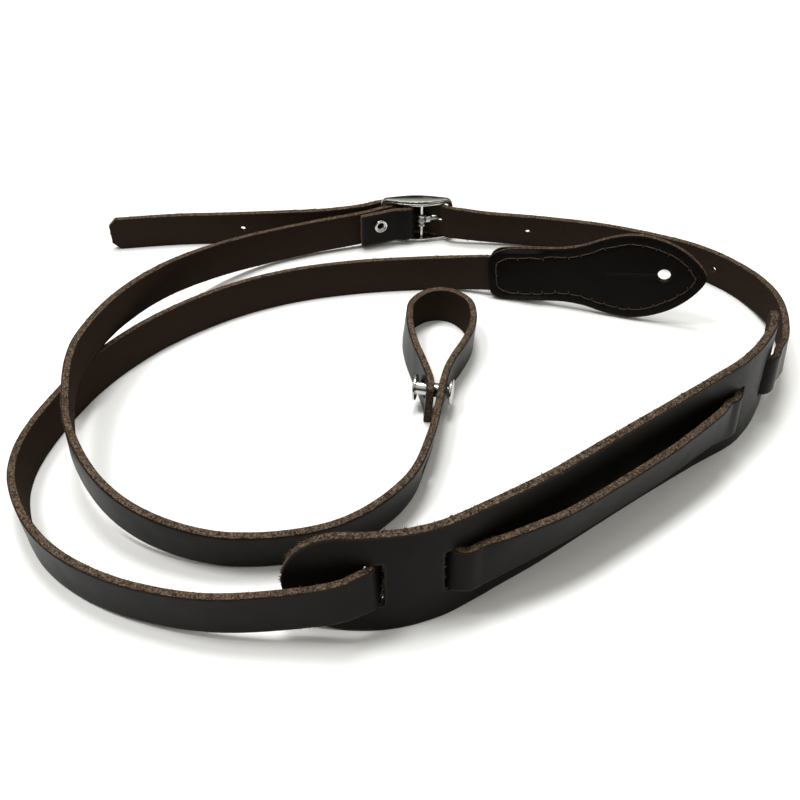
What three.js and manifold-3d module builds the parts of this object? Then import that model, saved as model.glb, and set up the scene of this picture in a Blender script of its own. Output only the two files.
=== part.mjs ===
// Leather mandolin strap, lying as it was laid down on a table, standing on the edges of its straps.
//
// Two flat straps of the same leather meet at a small roller buckle. The short strap is folded round
// the bar of the buckle, crosses over the long strap at the left and ends in a button loop that a
// two part stud closes. The long strap starts in a sewn end tab with a peg hole, runs round the left
// side, weaves through the four slots of the shoulder pad and comes back to the buckle.
//
// Millimetres, z up, the table at z = 0. The origin is the middle of the model's box on the table:
// x runs to the right along the longest side and y away from the pad.

import * as THREE from 'three';
import { mergeVertices } from 'three/addons/utils/BufferGeometryUtils.js';
import Module from 'manifold-3d';

const wasm = await Module();
wasm.setup();

// ---------------------------------------------------------------------------------------------
// Driving dimensions
// ---------------------------------------------------------------------------------------------

const MIDDLE = { x: -3.15, y: -0.78 }; // middle of the box in the coordinates of the tables
const CLEARANCE = 0.3; // gap between pieces that touch

const STRAP = { width: 14, thickness: 2.5 };
const STRAP_HOLE_RADIUS = 1.15;
const TAIL_CORNER = 3; // clipped corners of the long strap's tail

const PAD = { height: 33, thickness: 2.7, slotWidth: 6.4, slotHeight: 15.3, slotCorner: 1.2 };
const PAD_SLOTS = [23.4, 44.2, 154.6, 174.8]; // distance of each slot from the pad's left tip

const TAB = {
  length: 81,
  leaf: 1.1, // thickness of each of the two leaves
  strapInside: 16, // length of the long strap's end between the leaves
  holeAt: 66,
  holeHeight: 1, // of the hole and the slit above the middle of the leaf
  holeRadius: 2.4,
  slitFrom: 45.5,
  slitWidth: 0.3,
  x: 23.05, // middle of its strap end
  y: 57.7,
  z: 9.3,
  yaw: -16, // which way it points
  slope: 8.1, // how steeply it rises towards its tip
  lean: 9, // how far its upper edge leans back
};

const BUCKLE = {
  halfLength: 14.25, // from the middle of the frame to the middle of an end bar
  height: 19,
  railInner: 1, // thickness of the inner, deeper tier of a rail
  railOuter: 0.9,
  barRadius: 1,
  cornerRadius: 3,
};
const STRAP_BAR = { x: -4.75, y: -2.2, radius: 0.75 };
const PRONG_ROD = { x: 2.15, y: -1.5, radius: 0.75 };
const FOLD_RADIUS = 2.5; // of the middle of the short strap round its bar

const PRONG = { z: 9.8, yaw: 17, sleeveHeight: 5, sleeveRadius: 1.7, blade: 2.7, tip: 13.4 };
const EYELET = { radius: 2.8, barrel: 1.65, bore: 1.3, flange: 0.4 };
const STUD = { head: 4.4, headHeight: 1.1, barrel: 2.4, screw: 1.5, grip: 11.4 };

// ---------------------------------------------------------------------------------------------
// Routes. A strap stands on its lower edge: lift is the height of that edge above the table and
// lean, in degrees, tips the upper edge towards the grain side, which is on the right of the way
// the rows go.
// ---------------------------------------------------------------------------------------------

const BUCKLE_AT = { x: -4.95, y: 100.6 };

// Short strap from its cut end along the near layer to the bar of the buckle
const SHORT_NEAR_LAYER = [
  { x: -28.2, y: 90.8, lift: 2, lean: 3 },
  { x: -20.5, y: 93.7, lift: 2.2, lean: 3 },
  { x: -14, y: 95.7, lift: 2.5, lean: 1 },
];
// From the bar round the left side, over the long strap, to the front and up to the stud
const SHORT_RUN = [
  { x: -14.5, y: 99.9, lift: 2.5, lean: 0 },
  { x: -20.5, y: 97.3, lift: 2.2, lean: 2 },
  { x: -27, y: 94.3, lift: 2, lean: 1 },
  { x: -49.5, y: 86.9, lift: 1.2, lean: 2 },
  { x: -69.5, y: 77.2, lift: 1.5, lean: 4 },
  { x: -86.8, y: 61.6, lift: 4.6, lean: 0 },
  { x: -101, y: 39.4, lift: 9.4, lean: -6 },
  { x: -110.6, y: 13.2, lift: 13.8, lean: -8 },
  { x: -115.4, y: -7, lift: 14.7, lean: -8 },
  { x: -116, y: -19, lift: 14.9, lean: -8 },
  { x: -113.5, y: -35, lift: 13.4, lean: -6 },
  { x: -108.5, y: -50, lift: 10, lean: -2 },
  { x: -96, y: -66.7, lift: 5.5, lean: 2 },
  { x: -80, y: -77, lift: 2.5, lean: 5 },
  { x: -58, y: -82, lift: 0.5, lean: 8 },
  { x: -29, y: -76.5, lift: 0, lean: 10 },
  { x: -10.5, y: -59.5, lift: 0, lean: 10 },
  { x: -3.5, y: -40.5, lift: 0, lean: 10 },
  { x: -0.6, y: -27, lift: 0, lean: 8 },
  { x: 0.9, y: -18.5, lift: 0, lean: 7 },
  { x: 2.7, y: -10, lift: 0, lean: 7 },
];
// Button loop, back to the stud on the other side
const BUTTON_LOOP = [
  { x: 5.7, y: -1.5, lift: 0, lean: 7 },
  { x: 9.5, y: 6.5, lift: 0, lean: 7 },
  { x: 12.6, y: 14.5, lift: 0, lean: 5 },
  { x: 14.1, y: 23, lift: 0, lean: 3 },
  { x: 12.8, y: 31.8, lift: 0, lean: 3 },
  { x: 6.4, y: 38.4, lift: 0, lean: 0 },
  { x: -1.3, y: 38.2, lift: 0, lean: -4 },
  { x: -7.9, y: 31.5, lift: 0, lean: -7 },
  { x: -9.2, y: 22.3, lift: 0, lean: -6 },
  { x: -8.5, y: 13, lift: 0, lean: -5 },
  { x: -6.7, y: 3.6, lift: 0, lean: -4 },
  { x: -4.3, y: -5.8, lift: 0, lean: -4 },
  { x: -2.5, y: -15, lift: 0, lean: -4 },
  { x: -2.6, y: -20.7, lift: 0, lean: -4 },
];

// Middle line of the shoulder pad from its left tip; it stands on its lower edge
const PAD_RUN = [
  { x: -42, y: -99.5, lift: 0, lean: -3 },
  { x: -17.5, y: -100.5, lift: 0, lean: -5 },
  { x: -3, y: -97, lift: 0, lean: -3 },
  { x: 14, y: -87, lift: 0, lean: -1 },
  { x: 29, y: -77, lift: 0, lean: 0 },
  { x: 45, y: -65, lift: 0, lean: 0 },
  { x: 62, y: -52.5, lift: 0, lean: 0 },
  { x: 78.7, y: -40.3, lift: 0, lean: -1 },
  { x: 95.1, y: -28, lift: 0, lean: -4 },
  { x: 106.7, y: -12.5, lift: 0, lean: -3 },
  { x: 114.4, y: 6, lift: 0, lean: -6 },
];

// Long strap from the mouth of the tab round the left side to the front
const LONG_FRONT = [
  { x: 8, y: 60.5, lift: 0.5, lean: 4 },
  { x: -4.5, y: 60.6, lift: 0.1, lean: 2 },
  { x: -29.5, y: 57.9, lift: 0, lean: 3 },
  { x: -54.5, y: 51.5, lift: 0, lean: 3 },
  { x: -76.5, y: 40.5, lift: 0, lean: 3 },
  { x: -98, y: 22.5, lift: 0, lean: 2 },
  { x: -113, y: 2, lift: 0, lean: 2 },
  { x: -121.5, y: -19, lift: 0, lean: 0 },
  { x: -126.5, y: -44, lift: 0, lean: 2 },
  { x: -123.8, y: -60.7, lift: 0, lean: 3 },
  { x: -110.7, y: -81.5, lift: 0, lean: 1 },
  { x: -91, y: -95.5, lift: 0.5, lean: 1 },
  { x: -63, y: -104.2, lift: 2.2, lean: 2 },
];
// Where it lies on the pad, by the distance along the pad and out of the pad's grain face
const PAD_PASS = [
  { along: 60, out: 4.4, lift: 9.8, lean: 3 },
  { along: 77, out: 5.7, lift: 9.8, lean: 10 },
  { along: 99, out: 6.2, lift: 9.8, lean: 10 },
  { along: 120, out: 5.9, lift: 9.8, lean: 9 },
  { along: 141, out: 4.4, lift: 10.2, lean: 5 },
];
// How it dives through a slot: distance from the slot's middle and out of the pad's middle
const SLOT_DIVE = [
  { from: -7, out: 3.3 },
  { from: -3.4, out: 3.3 },
  { from: -1.1, out: 2 },
  { from: 1.1, out: -2 },
  { from: 3.4, out: -3.3 },
  { from: 7, out: -3.3 },
];
// From the pad round the right side to the buckle
const LONG_SIDE = [
  { x: 117.6, y: -0.8, lift: 6.6, lean: -6 },
  { x: 123.7, y: 15, lift: 4, lean: -8 },
  { x: 126.5, y: 30, lift: 2, lean: -6 },
  { x: 125.2, y: 43, lift: 1, lean: -4 },
  { x: 119.6, y: 57, lift: 0, lean: -3 },
  { x: 107.8, y: 70.1, lift: 0, lean: -2 },
  { x: 94, y: 78.4, lift: 0, lean: -2 },
  { x: 72.7, y: 87.4, lift: 0, lean: -2 },
  { x: 48.5, y: 92.8, lift: 0.5, lean: -5 },
  { x: 24, y: 95.2, lift: 1.6, lean: -6 },
];
// Through the buckle, behind its bars, and out to the tail
const LONG_BUCKLE = [
  { x: 15, y: 96.2, lift: 2.3, lean: -3 },
  { x: 9.3, y: 97.4, lift: 2.5, lean: -1 },
  { x: 3.8, y: 101.25, lift: 2.5, lean: -2 },
  { x: -3, y: 103.6, lift: 2.5, lean: 0 },
  { x: -10, y: 104, lift: 2.5, lean: 0 },
  { x: -19.4, y: 103.7, lift: 2.5, lean: -2 },
  { x: -28, y: 100.8, lift: 2, lean: -3 },
  { x: -43, y: 98.9, lift: 1, lean: -3 },
  { x: -64, y: 97.9, lift: 0.4, lean: -2 },
  { x: -86, y: 97, lift: 0, lean: -2 },
  { x: -108, y: 95.7, lift: 0, lean: -2 },
  { x: -134.3, y: 92, lift: 0, lean: -2 },
];

// Punched holes: the nearest point of the strap, and the height of the hole
const LONG_HOLES = [
  { x: -78.9, y: 96.6, z: 7 },
  { x: -38, y: 99, z: 8 },
  { x: 42, y: 94, z: 7.5 },
  { x: 80, y: 85, z: 7 },
  { x: 115, y: 65.4, z: 7 },
];
const SPARE_STUD_HOLE = { x: -4.7, y: -48.4, z: 7, radius: 2.5 };
const PRONG_HOLE_RADIUS = 1.45;
const STUD_AT = { x: -0.9, y: -13, z: 7.8, yaw: -12 };
const STUD_HOLE_RADIUS = 2.8;
const EYELET_AT = { x: -21.2, y: 95.2, z: 10.5, yaw: -68.5 };
const EYELET_HOLE_RADIUS = 1.95;

// Outline of the end tab: half its height by the distance from its strap end
const TAB_OUTLINE = [
  { along: 0, half: 4.6 },
  { along: 1.3, half: 7.8 },
  { along: 5, half: 9.8 },
  { along: 11, half: 10.5 },
  { along: 20, half: 10.6 },
  { along: 29, half: 10.7 },
  { along: 37, half: 12.1 },
  { along: 44, half: 14.4 },
  { along: 50, half: 15.8 },
  { along: 55, half: 16.2 },
  { along: 60.5, half: 15.5 },
  { along: 66, half: 13.8 },
  { along: 70.5, half: 11.6 },
  { along: 74, half: 9.2 },
  { along: 77.5, half: 6 },
  { along: 80, half: 2.8 },
  { along: 81, half: 0.9 },
];

// ---------------------------------------------------------------------------------------------
// Materials
// ---------------------------------------------------------------------------------------------

const leather = () => new THREE.MeshStandardMaterial({ color: '#2b2620', roughness: 0.55 });
const tabLeather = () => new THREE.MeshStandardMaterial({ color: '#1f1b17', roughness: 0.6 });
const chrome = () =>
  new THREE.MeshStandardMaterial({ color: '#c4c5c6', roughness: 0.2, metalness: 1 });

// ---------------------------------------------------------------------------------------------
// Helpers
// ---------------------------------------------------------------------------------------------

const radians = THREE.MathUtils.degToRad;
const UP = new THREE.Vector3(0, 0, 1);

// A closed geometry as a solid that can be cut and joined
function solid(geometry) {
  const g = geometry.index ? geometry.clone() : geometry;
  g.deleteAttribute('normal');
  g.deleteAttribute('uv');
  const merged = mergeVertices(g, 1e-4);
  return new wasm.Manifold(
    new wasm.Mesh({
      numProp: 3,
      vertProperties: new Float32Array(merged.attributes.position.array),
      triVerts: new Uint32Array(merged.index.array),
    }),
  );
}

function geometryOf(body) {
  const { vertProperties, triVerts } = body.getMesh();
  const geometry = new THREE.BufferGeometry();
  geometry.setAttribute('position', new THREE.BufferAttribute(vertProperties, 3));
  geometry.setIndex(new THREE.BufferAttribute(triVerts, 1));
  const flat = geometry.toNonIndexed();
  flat.computeVertexNormals();
  return flat;
}

function piece(name, body, material) {
  const mesh = new THREE.Mesh(geometryOf(body), material);
  mesh.name = name;
  return mesh;
}

// A route through rows of { x, y, lift, lean }, measured by its length
class Route {
  constructor(rows, width, thickness) {
    this.rows = rows;
    this.width = width;
    this.thickness = thickness;
    const points = rows.map((row) => new THREE.Vector3(row.x, row.y, row.lift));
    this.curve = new THREE.CatmullRomCurve3(points, false, 'centripetal');
    this.curve.arcLengthDivisions = rows.length * 60;
    this.length = this.curve.getLength();
  }

  // Middle of the section, the way it goes, its grain side and its upper edge
  at(distance) {
    const t = this.curve.getUtoTmapping(THREE.MathUtils.clamp(distance / this.length, 0, 1));
    const point = this.curve.getPoint(t);
    const along = this.curve.getTangent(t).setZ(0).normalize();
    const place = t * (this.rows.length - 1);
    const row = Math.min(Math.floor(place), this.rows.length - 2);
    const { lerp } = THREE.MathUtils;
    const lean = radians(lerp(this.rows[row].lean, this.rows[row + 1].lean, place - row));
    const right = new THREE.Vector3(along.y, -along.x, 0);
    const up = right.clone().multiplyScalar(Math.sin(lean)).addScaledVector(UP, Math.cos(lean));
    const grain = right.clone().multiplyScalar(Math.cos(lean)).addScaledVector(UP, -Math.sin(lean));
    point.z = Math.max(point.z, 0);
    point.z += (this.width * Math.cos(lean) + this.thickness * Math.abs(Math.sin(lean))) / 2;
    return { centre: point, along, grain, up, right };
  }

  nearest({ x, y }) {
    let best = { distance: 0, gap: Infinity };
    for (let distance = 0; distance <= this.length; distance += 0.25) {
      const { centre } = this.at(distance);
      const gap = Math.hypot(centre.x - x, centre.y - y);
      if (gap < best.gap) best = { distance, gap };
    }
    return best.distance;
  }

  // Distances that follow every bend, closer together where the route turns, with one at `mark`
  stations({ turn = 15, step = 13, mark = Infinity } = {}) {
    const list = [0];
    let turned = 0;
    let before = this.at(0).along;
    for (let distance = 0.25; distance < this.length - 0.6; distance += 0.25) {
      const { along } = this.at(distance);
      turned += along.angleTo(before);
      before = along;
      const last = list[list.length - 1];
      const marked = last < mark && distance >= mark;
      if (turned > radians(turn) || distance - last > step || marked) {
        list.push(distance);
        turned = 0;
      }
    }
    list.push(this.length);
    return list;
  }
}

// A strip of leather cut to an outline of { along, half } and bent along a route
function bentStrip(route, outline, thickness) {
  const box = new THREE.BoxGeometry(1, 1, 1, outline.length - 1, 1, 1);
  const corner = new THREE.Vector3();
  const { position } = box.attributes;
  for (let i = 0; i < position.count; i += 1) {
    corner.fromBufferAttribute(position, i);
    const cut = outline[Math.round((corner.x + 0.5) * (outline.length - 1))];
    const { centre, grain, up } = route.at(cut.along);
    const place = centre
      .addScaledVector(up, 2 * corner.z * cut.half)
      .addScaledVector(grain, -corner.y * thickness);
    position.setXYZ(i, place.x, place.y, place.z);
  }
  return solid(box);
}

// A round pin along an axis through a point, for holes and bars
function pin(at, axis, radius, length, sides = 20) {
  const cylinder = new THREE.CylinderGeometry(radius, radius, length, sides);
  cylinder.applyQuaternion(
    new THREE.Quaternion().setFromUnitVectors(new THREE.Vector3(0, 1, 0), axis),
  );
  cylinder.translate(at.x, at.y, at.z);
  return solid(cylinder);
}

// The direction in the table's plane that a yaw in degrees points to
const heading = (yaw) => new THREE.Vector3(Math.cos(radians(yaw)), Math.sin(radians(yaw)), 0);

// A turned piece: profile points are [radius, distance along the axis]
function turned(profile, sides = 28) {
  const points = profile.map(([radius, along]) => new THREE.Vector2(radius, along));
  return solid(new THREE.LatheGeometry(points, sides));
}

function roundedRectangle(width, height, radius) {
  const shape = new THREE.Shape();
  const x = width / 2 - radius;
  const y = height / 2 - radius;
  shape.absarc(x, y, radius, 0, Math.PI / 2);
  shape.absarc(-x, y, radius, Math.PI / 2, Math.PI);
  shape.absarc(-x, -y, radius, Math.PI, 1.5 * Math.PI);
  shape.absarc(x, -y, radius, 1.5 * Math.PI, 2 * Math.PI);
  return shape;
}

// ---------------------------------------------------------------------------------------------
// Straps and pad
// ---------------------------------------------------------------------------------------------

const buckleCentre = new THREE.Vector3(BUCKLE_AT.x, BUCKLE_AT.y, 0);

// The fold of the short strap: half a turn round its bar, from the near layer to the far one
const foldRows = [-90, -45, 0, 45, 90].map((angle) => ({
  x: BUCKLE_AT.x + STRAP_BAR.x + FOLD_RADIUS * Math.cos(radians(angle)),
  y: BUCKLE_AT.y + STRAP_BAR.y + FOLD_RADIUS * Math.sin(radians(angle)),
  lift: 2.5,
  lean: 0,
}));
const shortRoute = new Route(
  [...SHORT_NEAR_LAYER, ...foldRows, ...SHORT_RUN, ...BUTTON_LOOP],
  STRAP.width,
  STRAP.thickness,
);

const padRoute = new Route(PAD_RUN, PAD.height, PAD.thickness);

// Rows of the long strap beside the pad, given by the distance along it and out of it
function besidePad(row) {
  const { centre, right } = padRoute.at(row.along);
  return {
    x: centre.x + right.x * row.out,
    y: centre.y + right.y * row.out,
    lift: row.lift,
    lean: row.lean,
  };
}
// The strap goes in at every second slot and comes out again at the next one
const dive = (slot, way) =>
  SLOT_DIVE.map(({ from, out }) => ({ along: slot + from, out: way * out, lift: 9.5, lean: -4 }));
const weave = [
  { along: 8, out: 5.7, lift: 6.4, lean: 0 },
  { along: 16.5, out: 4.9, lift: 8.8, lean: -2 },
  ...dive(PAD_SLOTS[0], 1).slice(1),
  { along: (PAD_SLOTS[0] + PAD_SLOTS[1]) / 2, out: -3.2, lift: 9.5, lean: -4 },
  ...dive(PAD_SLOTS[1], -1),
  ...PAD_PASS,
  ...dive(PAD_SLOTS[2], 1),
  { along: (PAD_SLOTS[2] + PAD_SLOTS[3]) / 2, out: -3.2, lift: 9.5, lean: -4 },
  ...dive(PAD_SLOTS[3], -1),
  { along: 185, out: 3.6, lift: 8.7, lean: -4 },
].map(besidePad);

// The end of the long strap lies straight between the leaves of the tab
const tabTurn = new THREE.Euler(radians(-TAB.lean), radians(-TAB.slope), radians(TAB.yaw), 'ZYX');
const strapMiddle =
  (STRAP.width * Math.cos(radians(TAB.lean)) + STRAP.thickness * Math.sin(radians(TAB.lean))) / 2;
const tabRows = [TAB.strapInside, TAB.strapInside / 2, 0, -2, -4].map((along) => {
  const place = new THREE.Vector3(along, 0, 0).applyEuler(tabTurn);
  return {
    x: TAB.x + place.x,
    y: TAB.y + place.y,
    lift: TAB.z + place.z - strapMiddle,
    lean: TAB.lean,
  };
});

const longRoute = new Route(
  [...tabRows, ...LONG_FRONT, ...weave, ...LONG_SIDE, ...LONG_BUCKLE],
  STRAP.width,
  STRAP.thickness,
);

const square = (route, options) =>
  route.stations(options).map((along) => ({ along, half: STRAP.width / 2 }));

// The long strap is straight up to the mouth of the tab, and its tail has clipped corners
function tailOutline(route) {
  const outline = square(route, { mark: TAB.strapInside + 2 }).filter(
    ({ along }) => along < route.length - TAIL_CORNER - 1,
  );
  outline.push({ along: route.length - TAIL_CORNER, half: STRAP.width / 2 });
  outline.push({ along: route.length, half: STRAP.width / 2 - TAIL_CORNER });
  return outline;
}

function padOutline(route) {
  const radius = PAD.height / 2;
  const end = [];
  for (let angle = 6; angle < 90; angle += 12) {
    end.push({
      along: radius * (1 - Math.cos(radians(angle))),
      half: radius * Math.sin(radians(angle)),
    });
  }
  const middle = route
    .stations({ turn: 6, step: 8 })
    .filter((along) => along > radius && along < route.length - radius)
    .map((along) => ({ along, half: radius }));
  const mirrored = end.map(({ along, half }) => ({ along: route.length - along, half })).reverse();
  return [...end, ...middle, ...mirrored];
}

function punch(body, route, { x, y, z, radius = STRAP_HOLE_RADIUS }) {
  const { centre, grain } = route.at(route.nearest({ x, y }));
  return body.subtract(pin(centre.setZ(z), grain, radius, 3 * STRAP.thickness, 16));
}

// Axes of the metal parts that go through the leather
const prongAxis = heading(PRONG.yaw);
const rodTop = buckleCentre.clone().add(new THREE.Vector3(PRONG_ROD.x, PRONG_ROD.y, PRONG.z));
const studAxis = heading(STUD_AT.yaw);
const eyeletAxis = heading(EYELET_AT.yaw);

let shortStrap = bentStrip(shortRoute, square(shortRoute), STRAP.thickness);
shortStrap = punch(shortStrap, shortRoute, SPARE_STUD_HOLE);
shortStrap = shortStrap
  .subtract(pin(STUD_AT, studAxis, STUD_HOLE_RADIUS, 14))
  .subtract(pin(EYELET_AT, eyeletAxis, EYELET_HOLE_RADIUS, 10));

let longStrap = bentStrip(longRoute, tailOutline(longRoute), STRAP.thickness);
for (const hole of LONG_HOLES) longStrap = punch(longStrap, longRoute, hole);
const prongMiddle = rodTop.clone().addScaledVector(prongAxis, 7.5);
longStrap = longStrap.subtract(pin(prongMiddle, prongAxis, PRONG_HOLE_RADIUS, 9, 16));

// The slots are cut square to the pad, each in its own place along the bend
let shoulderPad = bentStrip(padRoute, padOutline(padRoute), PAD.thickness);
for (const along of PAD_SLOTS) {
  const slot = new THREE.ExtrudeGeometry(
    roundedRectangle(PAD.slotWidth, PAD.slotHeight, PAD.slotCorner),
    { depth: 4 * PAD.thickness, bevelEnabled: false, curveSegments: 2 },
  );
  slot.translate(0, 0, -2 * PAD.thickness);
  const place = padRoute.at(along);
  const across = new THREE.Vector3().crossVectors(place.up, place.grain);
  slot.applyMatrix4(new THREE.Matrix4().makeBasis(across, place.up, place.grain));
  slot.translate(place.centre.x, place.centre.y, place.centre.z);
  shoulderPad = shoulderPad.subtract(solid(slot));
}

// ---------------------------------------------------------------------------------------------
// End tab: two leaves sewn together round the end of the long strap. It is built flat, x along the
// strap, y away from the pad and z up, and turned into place.
// ---------------------------------------------------------------------------------------------

// How far the leaves stand apart, as a share of the strap between them: they close past its end
// and beside its edges, but not right at the mouth
function spread(along, height) {
  const { smoothstep } = THREE.MathUtils;
  const past = 1 - smoothstep(along, TAB.strapInside + 2, TAB.strapInside + 10);
  const side = smoothstep(Math.abs(height), STRAP.width / 2 + 1.2, STRAP.width / 2 + 3.8);
  return past * (1 - side * smoothstep(along, 2, 9));
}

// One leaf; side is -1 for the front leaf and 1 for the back one
function leaf(side) {
  const outline = new THREE.SplineCurve(
    TAB_OUTLINE.map(({ along, half }) => new THREE.Vector2(along, half)),
  ).getSpacedPoints(27);
  const rows = 8;
  const box = new THREE.BoxGeometry(1, 1, 1, outline.length - 1, 1, rows);
  const corner = new THREE.Vector3();
  const { position } = box.attributes;
  for (let i = 0; i < position.count; i += 1) {
    corner.fromBufferAttribute(position, i);
    const cut = outline[Math.round((corner.x + 0.5) * (outline.length - 1))];
    const height = 2 * corner.z * cut.y;
    const inner = CLEARANCE / 2 + (STRAP.thickness / 2 + CLEARANCE / 2) * spread(cut.x, height);
    const outer = corner.y * side > 0 ? TAB.leaf : 0;
    position.setXYZ(i, cut.x, side * (inner + outer), height);
  }
  const acrossLeaves = new THREE.Vector3(0, 1, 0);
  const hole = new THREE.Vector3(TAB.holeAt, 0, TAB.holeHeight);
  const slit = new THREE.BoxGeometry(TAB.holeAt - TAB.slitFrom, 12, TAB.slitWidth);
  slit.translate((TAB.holeAt + TAB.slitFrom) / 2, 0, TAB.holeHeight);
  return solid(box)
    .subtract(pin(hole, acrossLeaves, TAB.holeRadius, 12))
    .subtract(solid(slit));
}

const tab = new THREE.Group();
tab.position.set(TAB.x, TAB.y, TAB.z);
tab.rotation.copy(tabTurn);
tab.add(piece('end_tab_front', leaf(-1), tabLeather()));
tab.add(piece('end_tab_back', leaf(1), tabLeather()));

// ---------------------------------------------------------------------------------------------
// Buckle
// ---------------------------------------------------------------------------------------------

// Plan of a rail: a slim lens, from a half depth at its ends to another in the middle
function railPlan(endHalf, middleHalf, halfLength) {
  const steps = 10;
  const far = [];
  for (let i = 0; i <= steps; i += 1) {
    const u = (2 * i) / steps - 1;
    const bulge = Math.cos((u * Math.PI) / 2) ** 1.3;
    far.push(new THREE.Vector2(-u * halfLength, endHalf + (middleHalf - endHalf) * bulge));
  }
  const near = far.map(({ x, y }) => new THREE.Vector2(-x, -y));
  return new THREE.Shape([...far, ...near]);
}

function rail(bottom, depth, endHalf, middleHalf) {
  const plan = railPlan(endHalf, middleHalf, BUCKLE.halfLength + BUCKLE.barRadius);
  const plate = new THREE.ExtrudeGeometry(plan, { depth, bevelEnabled: false });
  plate.translate(0, 0, bottom);
  return solid(plate);
}

const upright = ({ x, y, radius }) =>
  pin(new THREE.Vector3(x, y, BUCKLE.height / 2), UP, radius, BUCKLE.height - 0.6, 12);

const railHeight = BUCKLE.railInner + BUCKLE.railOuter;
const endBars = [-1, 1].map((end) => ({
  x: end * BUCKLE.halfLength,
  y: 0,
  radius: BUCKLE.barRadius,
}));
let frame = rail(0, BUCKLE.railOuter, 1, 3.3)
  .add(rail(BUCKLE.railOuter, BUCKLE.railInner, 0.9, 3.9))
  .add(rail(BUCKLE.height - railHeight, BUCKLE.railInner, 0.9, 3.9))
  .add(rail(BUCKLE.height - BUCKLE.railOuter, BUCKLE.railOuter, 1, 3.3));
for (const bar of [...endBars, STRAP_BAR, PRONG_ROD]) frame = frame.add(upright(bar));

// The outer corners of the frame are rounded
const envelope = new THREE.ExtrudeGeometry(
  roundedRectangle(
    2 * (BUCKLE.halfLength + BUCKLE.barRadius),
    BUCKLE.height,
    BUCKLE.cornerRadius,
  ),
  { depth: 12, bevelEnabled: false, curveSegments: 3 },
);
envelope.rotateX(Math.PI / 2);
envelope.translate(0, 6, BUCKLE.height / 2);
frame = frame.intersect(solid(envelope));

const buckle = new THREE.Group();
buckle.position.copy(buckleCentre);
buckle.add(piece('buckle_frame', frame, chrome()));

// The prong: a sleeve round its rod, a flat blade and a round point
const rodGap = PRONG_ROD.radius + CLEARANCE;
const ball = PRONG.sleeveHeight / 2;
const sleeve = turned([
  [rodGap, -ball],
  [PRONG.sleeveRadius - 0.1, -ball],
  [PRONG.sleeveRadius + 0.1, -ball + 0.5],
  [PRONG.sleeveRadius - 0.25, -ball + 1.1],
  [PRONG.sleeveRadius + 0.2, -0.7],
  [PRONG.sleeveRadius + 0.2, 0.7],
  [PRONG.sleeveRadius - 0.25, ball - 1.1],
  [PRONG.sleeveRadius + 0.1, ball - 0.5],
  [PRONG.sleeveRadius - 0.1, ball],
  [rodGap, ball],
  [rodGap, -ball],
], 24).rotate([90, 0, 0]);
const blade = new THREE.BoxGeometry(2.3, 0.7, PRONG.blade);
blade.translate(2.8, 0, 0);
const point = turned([
  [0, 1.3],
  [0.75, 1.3],
  [0.75, 8],
  [0.72, 11.5],
  [0.7, PRONG.tip - 0.4],
  [0.4, PRONG.tip],
  [0, PRONG.tip],
], 16).rotate([0, 0, -90]);
const prong = piece('buckle_prong', sleeve.add(solid(blade)).add(point), chrome());
prong.position.set(PRONG_ROD.x, PRONG_ROD.y, PRONG.z);
prong.rotation.z = radians(PRONG.yaw);
buckle.add(prong);

// ---------------------------------------------------------------------------------------------
// Eyelet through the fold and stud through the ends of the button loop
// ---------------------------------------------------------------------------------------------

const eyeletHalf = 3.8;
const eyelet = piece(
  'fold_eyelet',
  turned([
    [EYELET.bore, -eyeletHalf],
    [EYELET.radius - 0.3, -eyeletHalf],
    [EYELET.radius, -eyeletHalf + EYELET.flange / 2],
    [EYELET.radius, -eyeletHalf + EYELET.flange],
    [EYELET.barrel, -eyeletHalf + EYELET.flange],
    [EYELET.barrel, eyeletHalf - EYELET.flange],
    [EYELET.radius, eyeletHalf - EYELET.flange],
    [EYELET.radius, eyeletHalf - EYELET.flange / 2],
    [EYELET.radius - 0.3, eyeletHalf],
    [EYELET.bore, eyeletHalf],
    [EYELET.bore, -eyeletHalf],
  ]).rotate([0, 0, -90]),
  chrome(),
);
eyelet.position.set(EYELET_AT.x, EYELET_AT.y, EYELET_AT.z);
eyelet.rotation.z = radians(EYELET_AT.yaw);

// The post's head is on the left and its barrel carries both layers; the screw goes into it
const gripHalf = STUD.grip / 2;
const headEnd = gripHalf + STUD.headHeight;
const stud = new THREE.Group();
stud.position.set(STUD_AT.x, STUD_AT.y, STUD_AT.z);
stud.rotation.z = radians(STUD_AT.yaw);
stud.add(
  piece(
    'stud_post',
    turned([
      [0, -headEnd],
      [STUD.head - 0.7, -headEnd],
      [STUD.head, -headEnd + 0.6],
      [STUD.head, -gripHalf],
      [STUD.barrel, -gripHalf],
      [STUD.barrel, gripHalf - CLEARANCE],
      [STUD.screw + CLEARANCE, gripHalf - CLEARANCE],
      [STUD.screw + CLEARANCE, -gripHalf + 1],
      [0, -gripHalf + 1],
    ]).rotate([0, 0, -90]),
    chrome(),
  ),
);
stud.add(
  piece(
    'stud_screw',
    turned([
      [0, -gripHalf + 3],
      [STUD.screw, -gripHalf + 3],
      [STUD.screw, gripHalf],
      [STUD.head, gripHalf],
      [STUD.head, headEnd - 0.6],
      [STUD.head - 0.7, headEnd],
      [0, headEnd],
    ]).rotate([0, 0, -90]),
    chrome(),
  ),
);

// ---------------------------------------------------------------------------------------------
// The strap
// ---------------------------------------------------------------------------------------------

const strap = new THREE.Group();
strap.position.set(-MIDDLE.x, -MIDDLE.y, 0);
strap.add(piece('long_strap', longStrap, leather()));
strap.add(piece('short_strap', shortStrap, leather()));
strap.add(piece('shoulder_pad', shoulderPad, leather()));
strap.add(tab);
strap.add(buckle);
strap.add(eyelet);
strap.add(stud);

export default new THREE.Group().add(strap);
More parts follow.
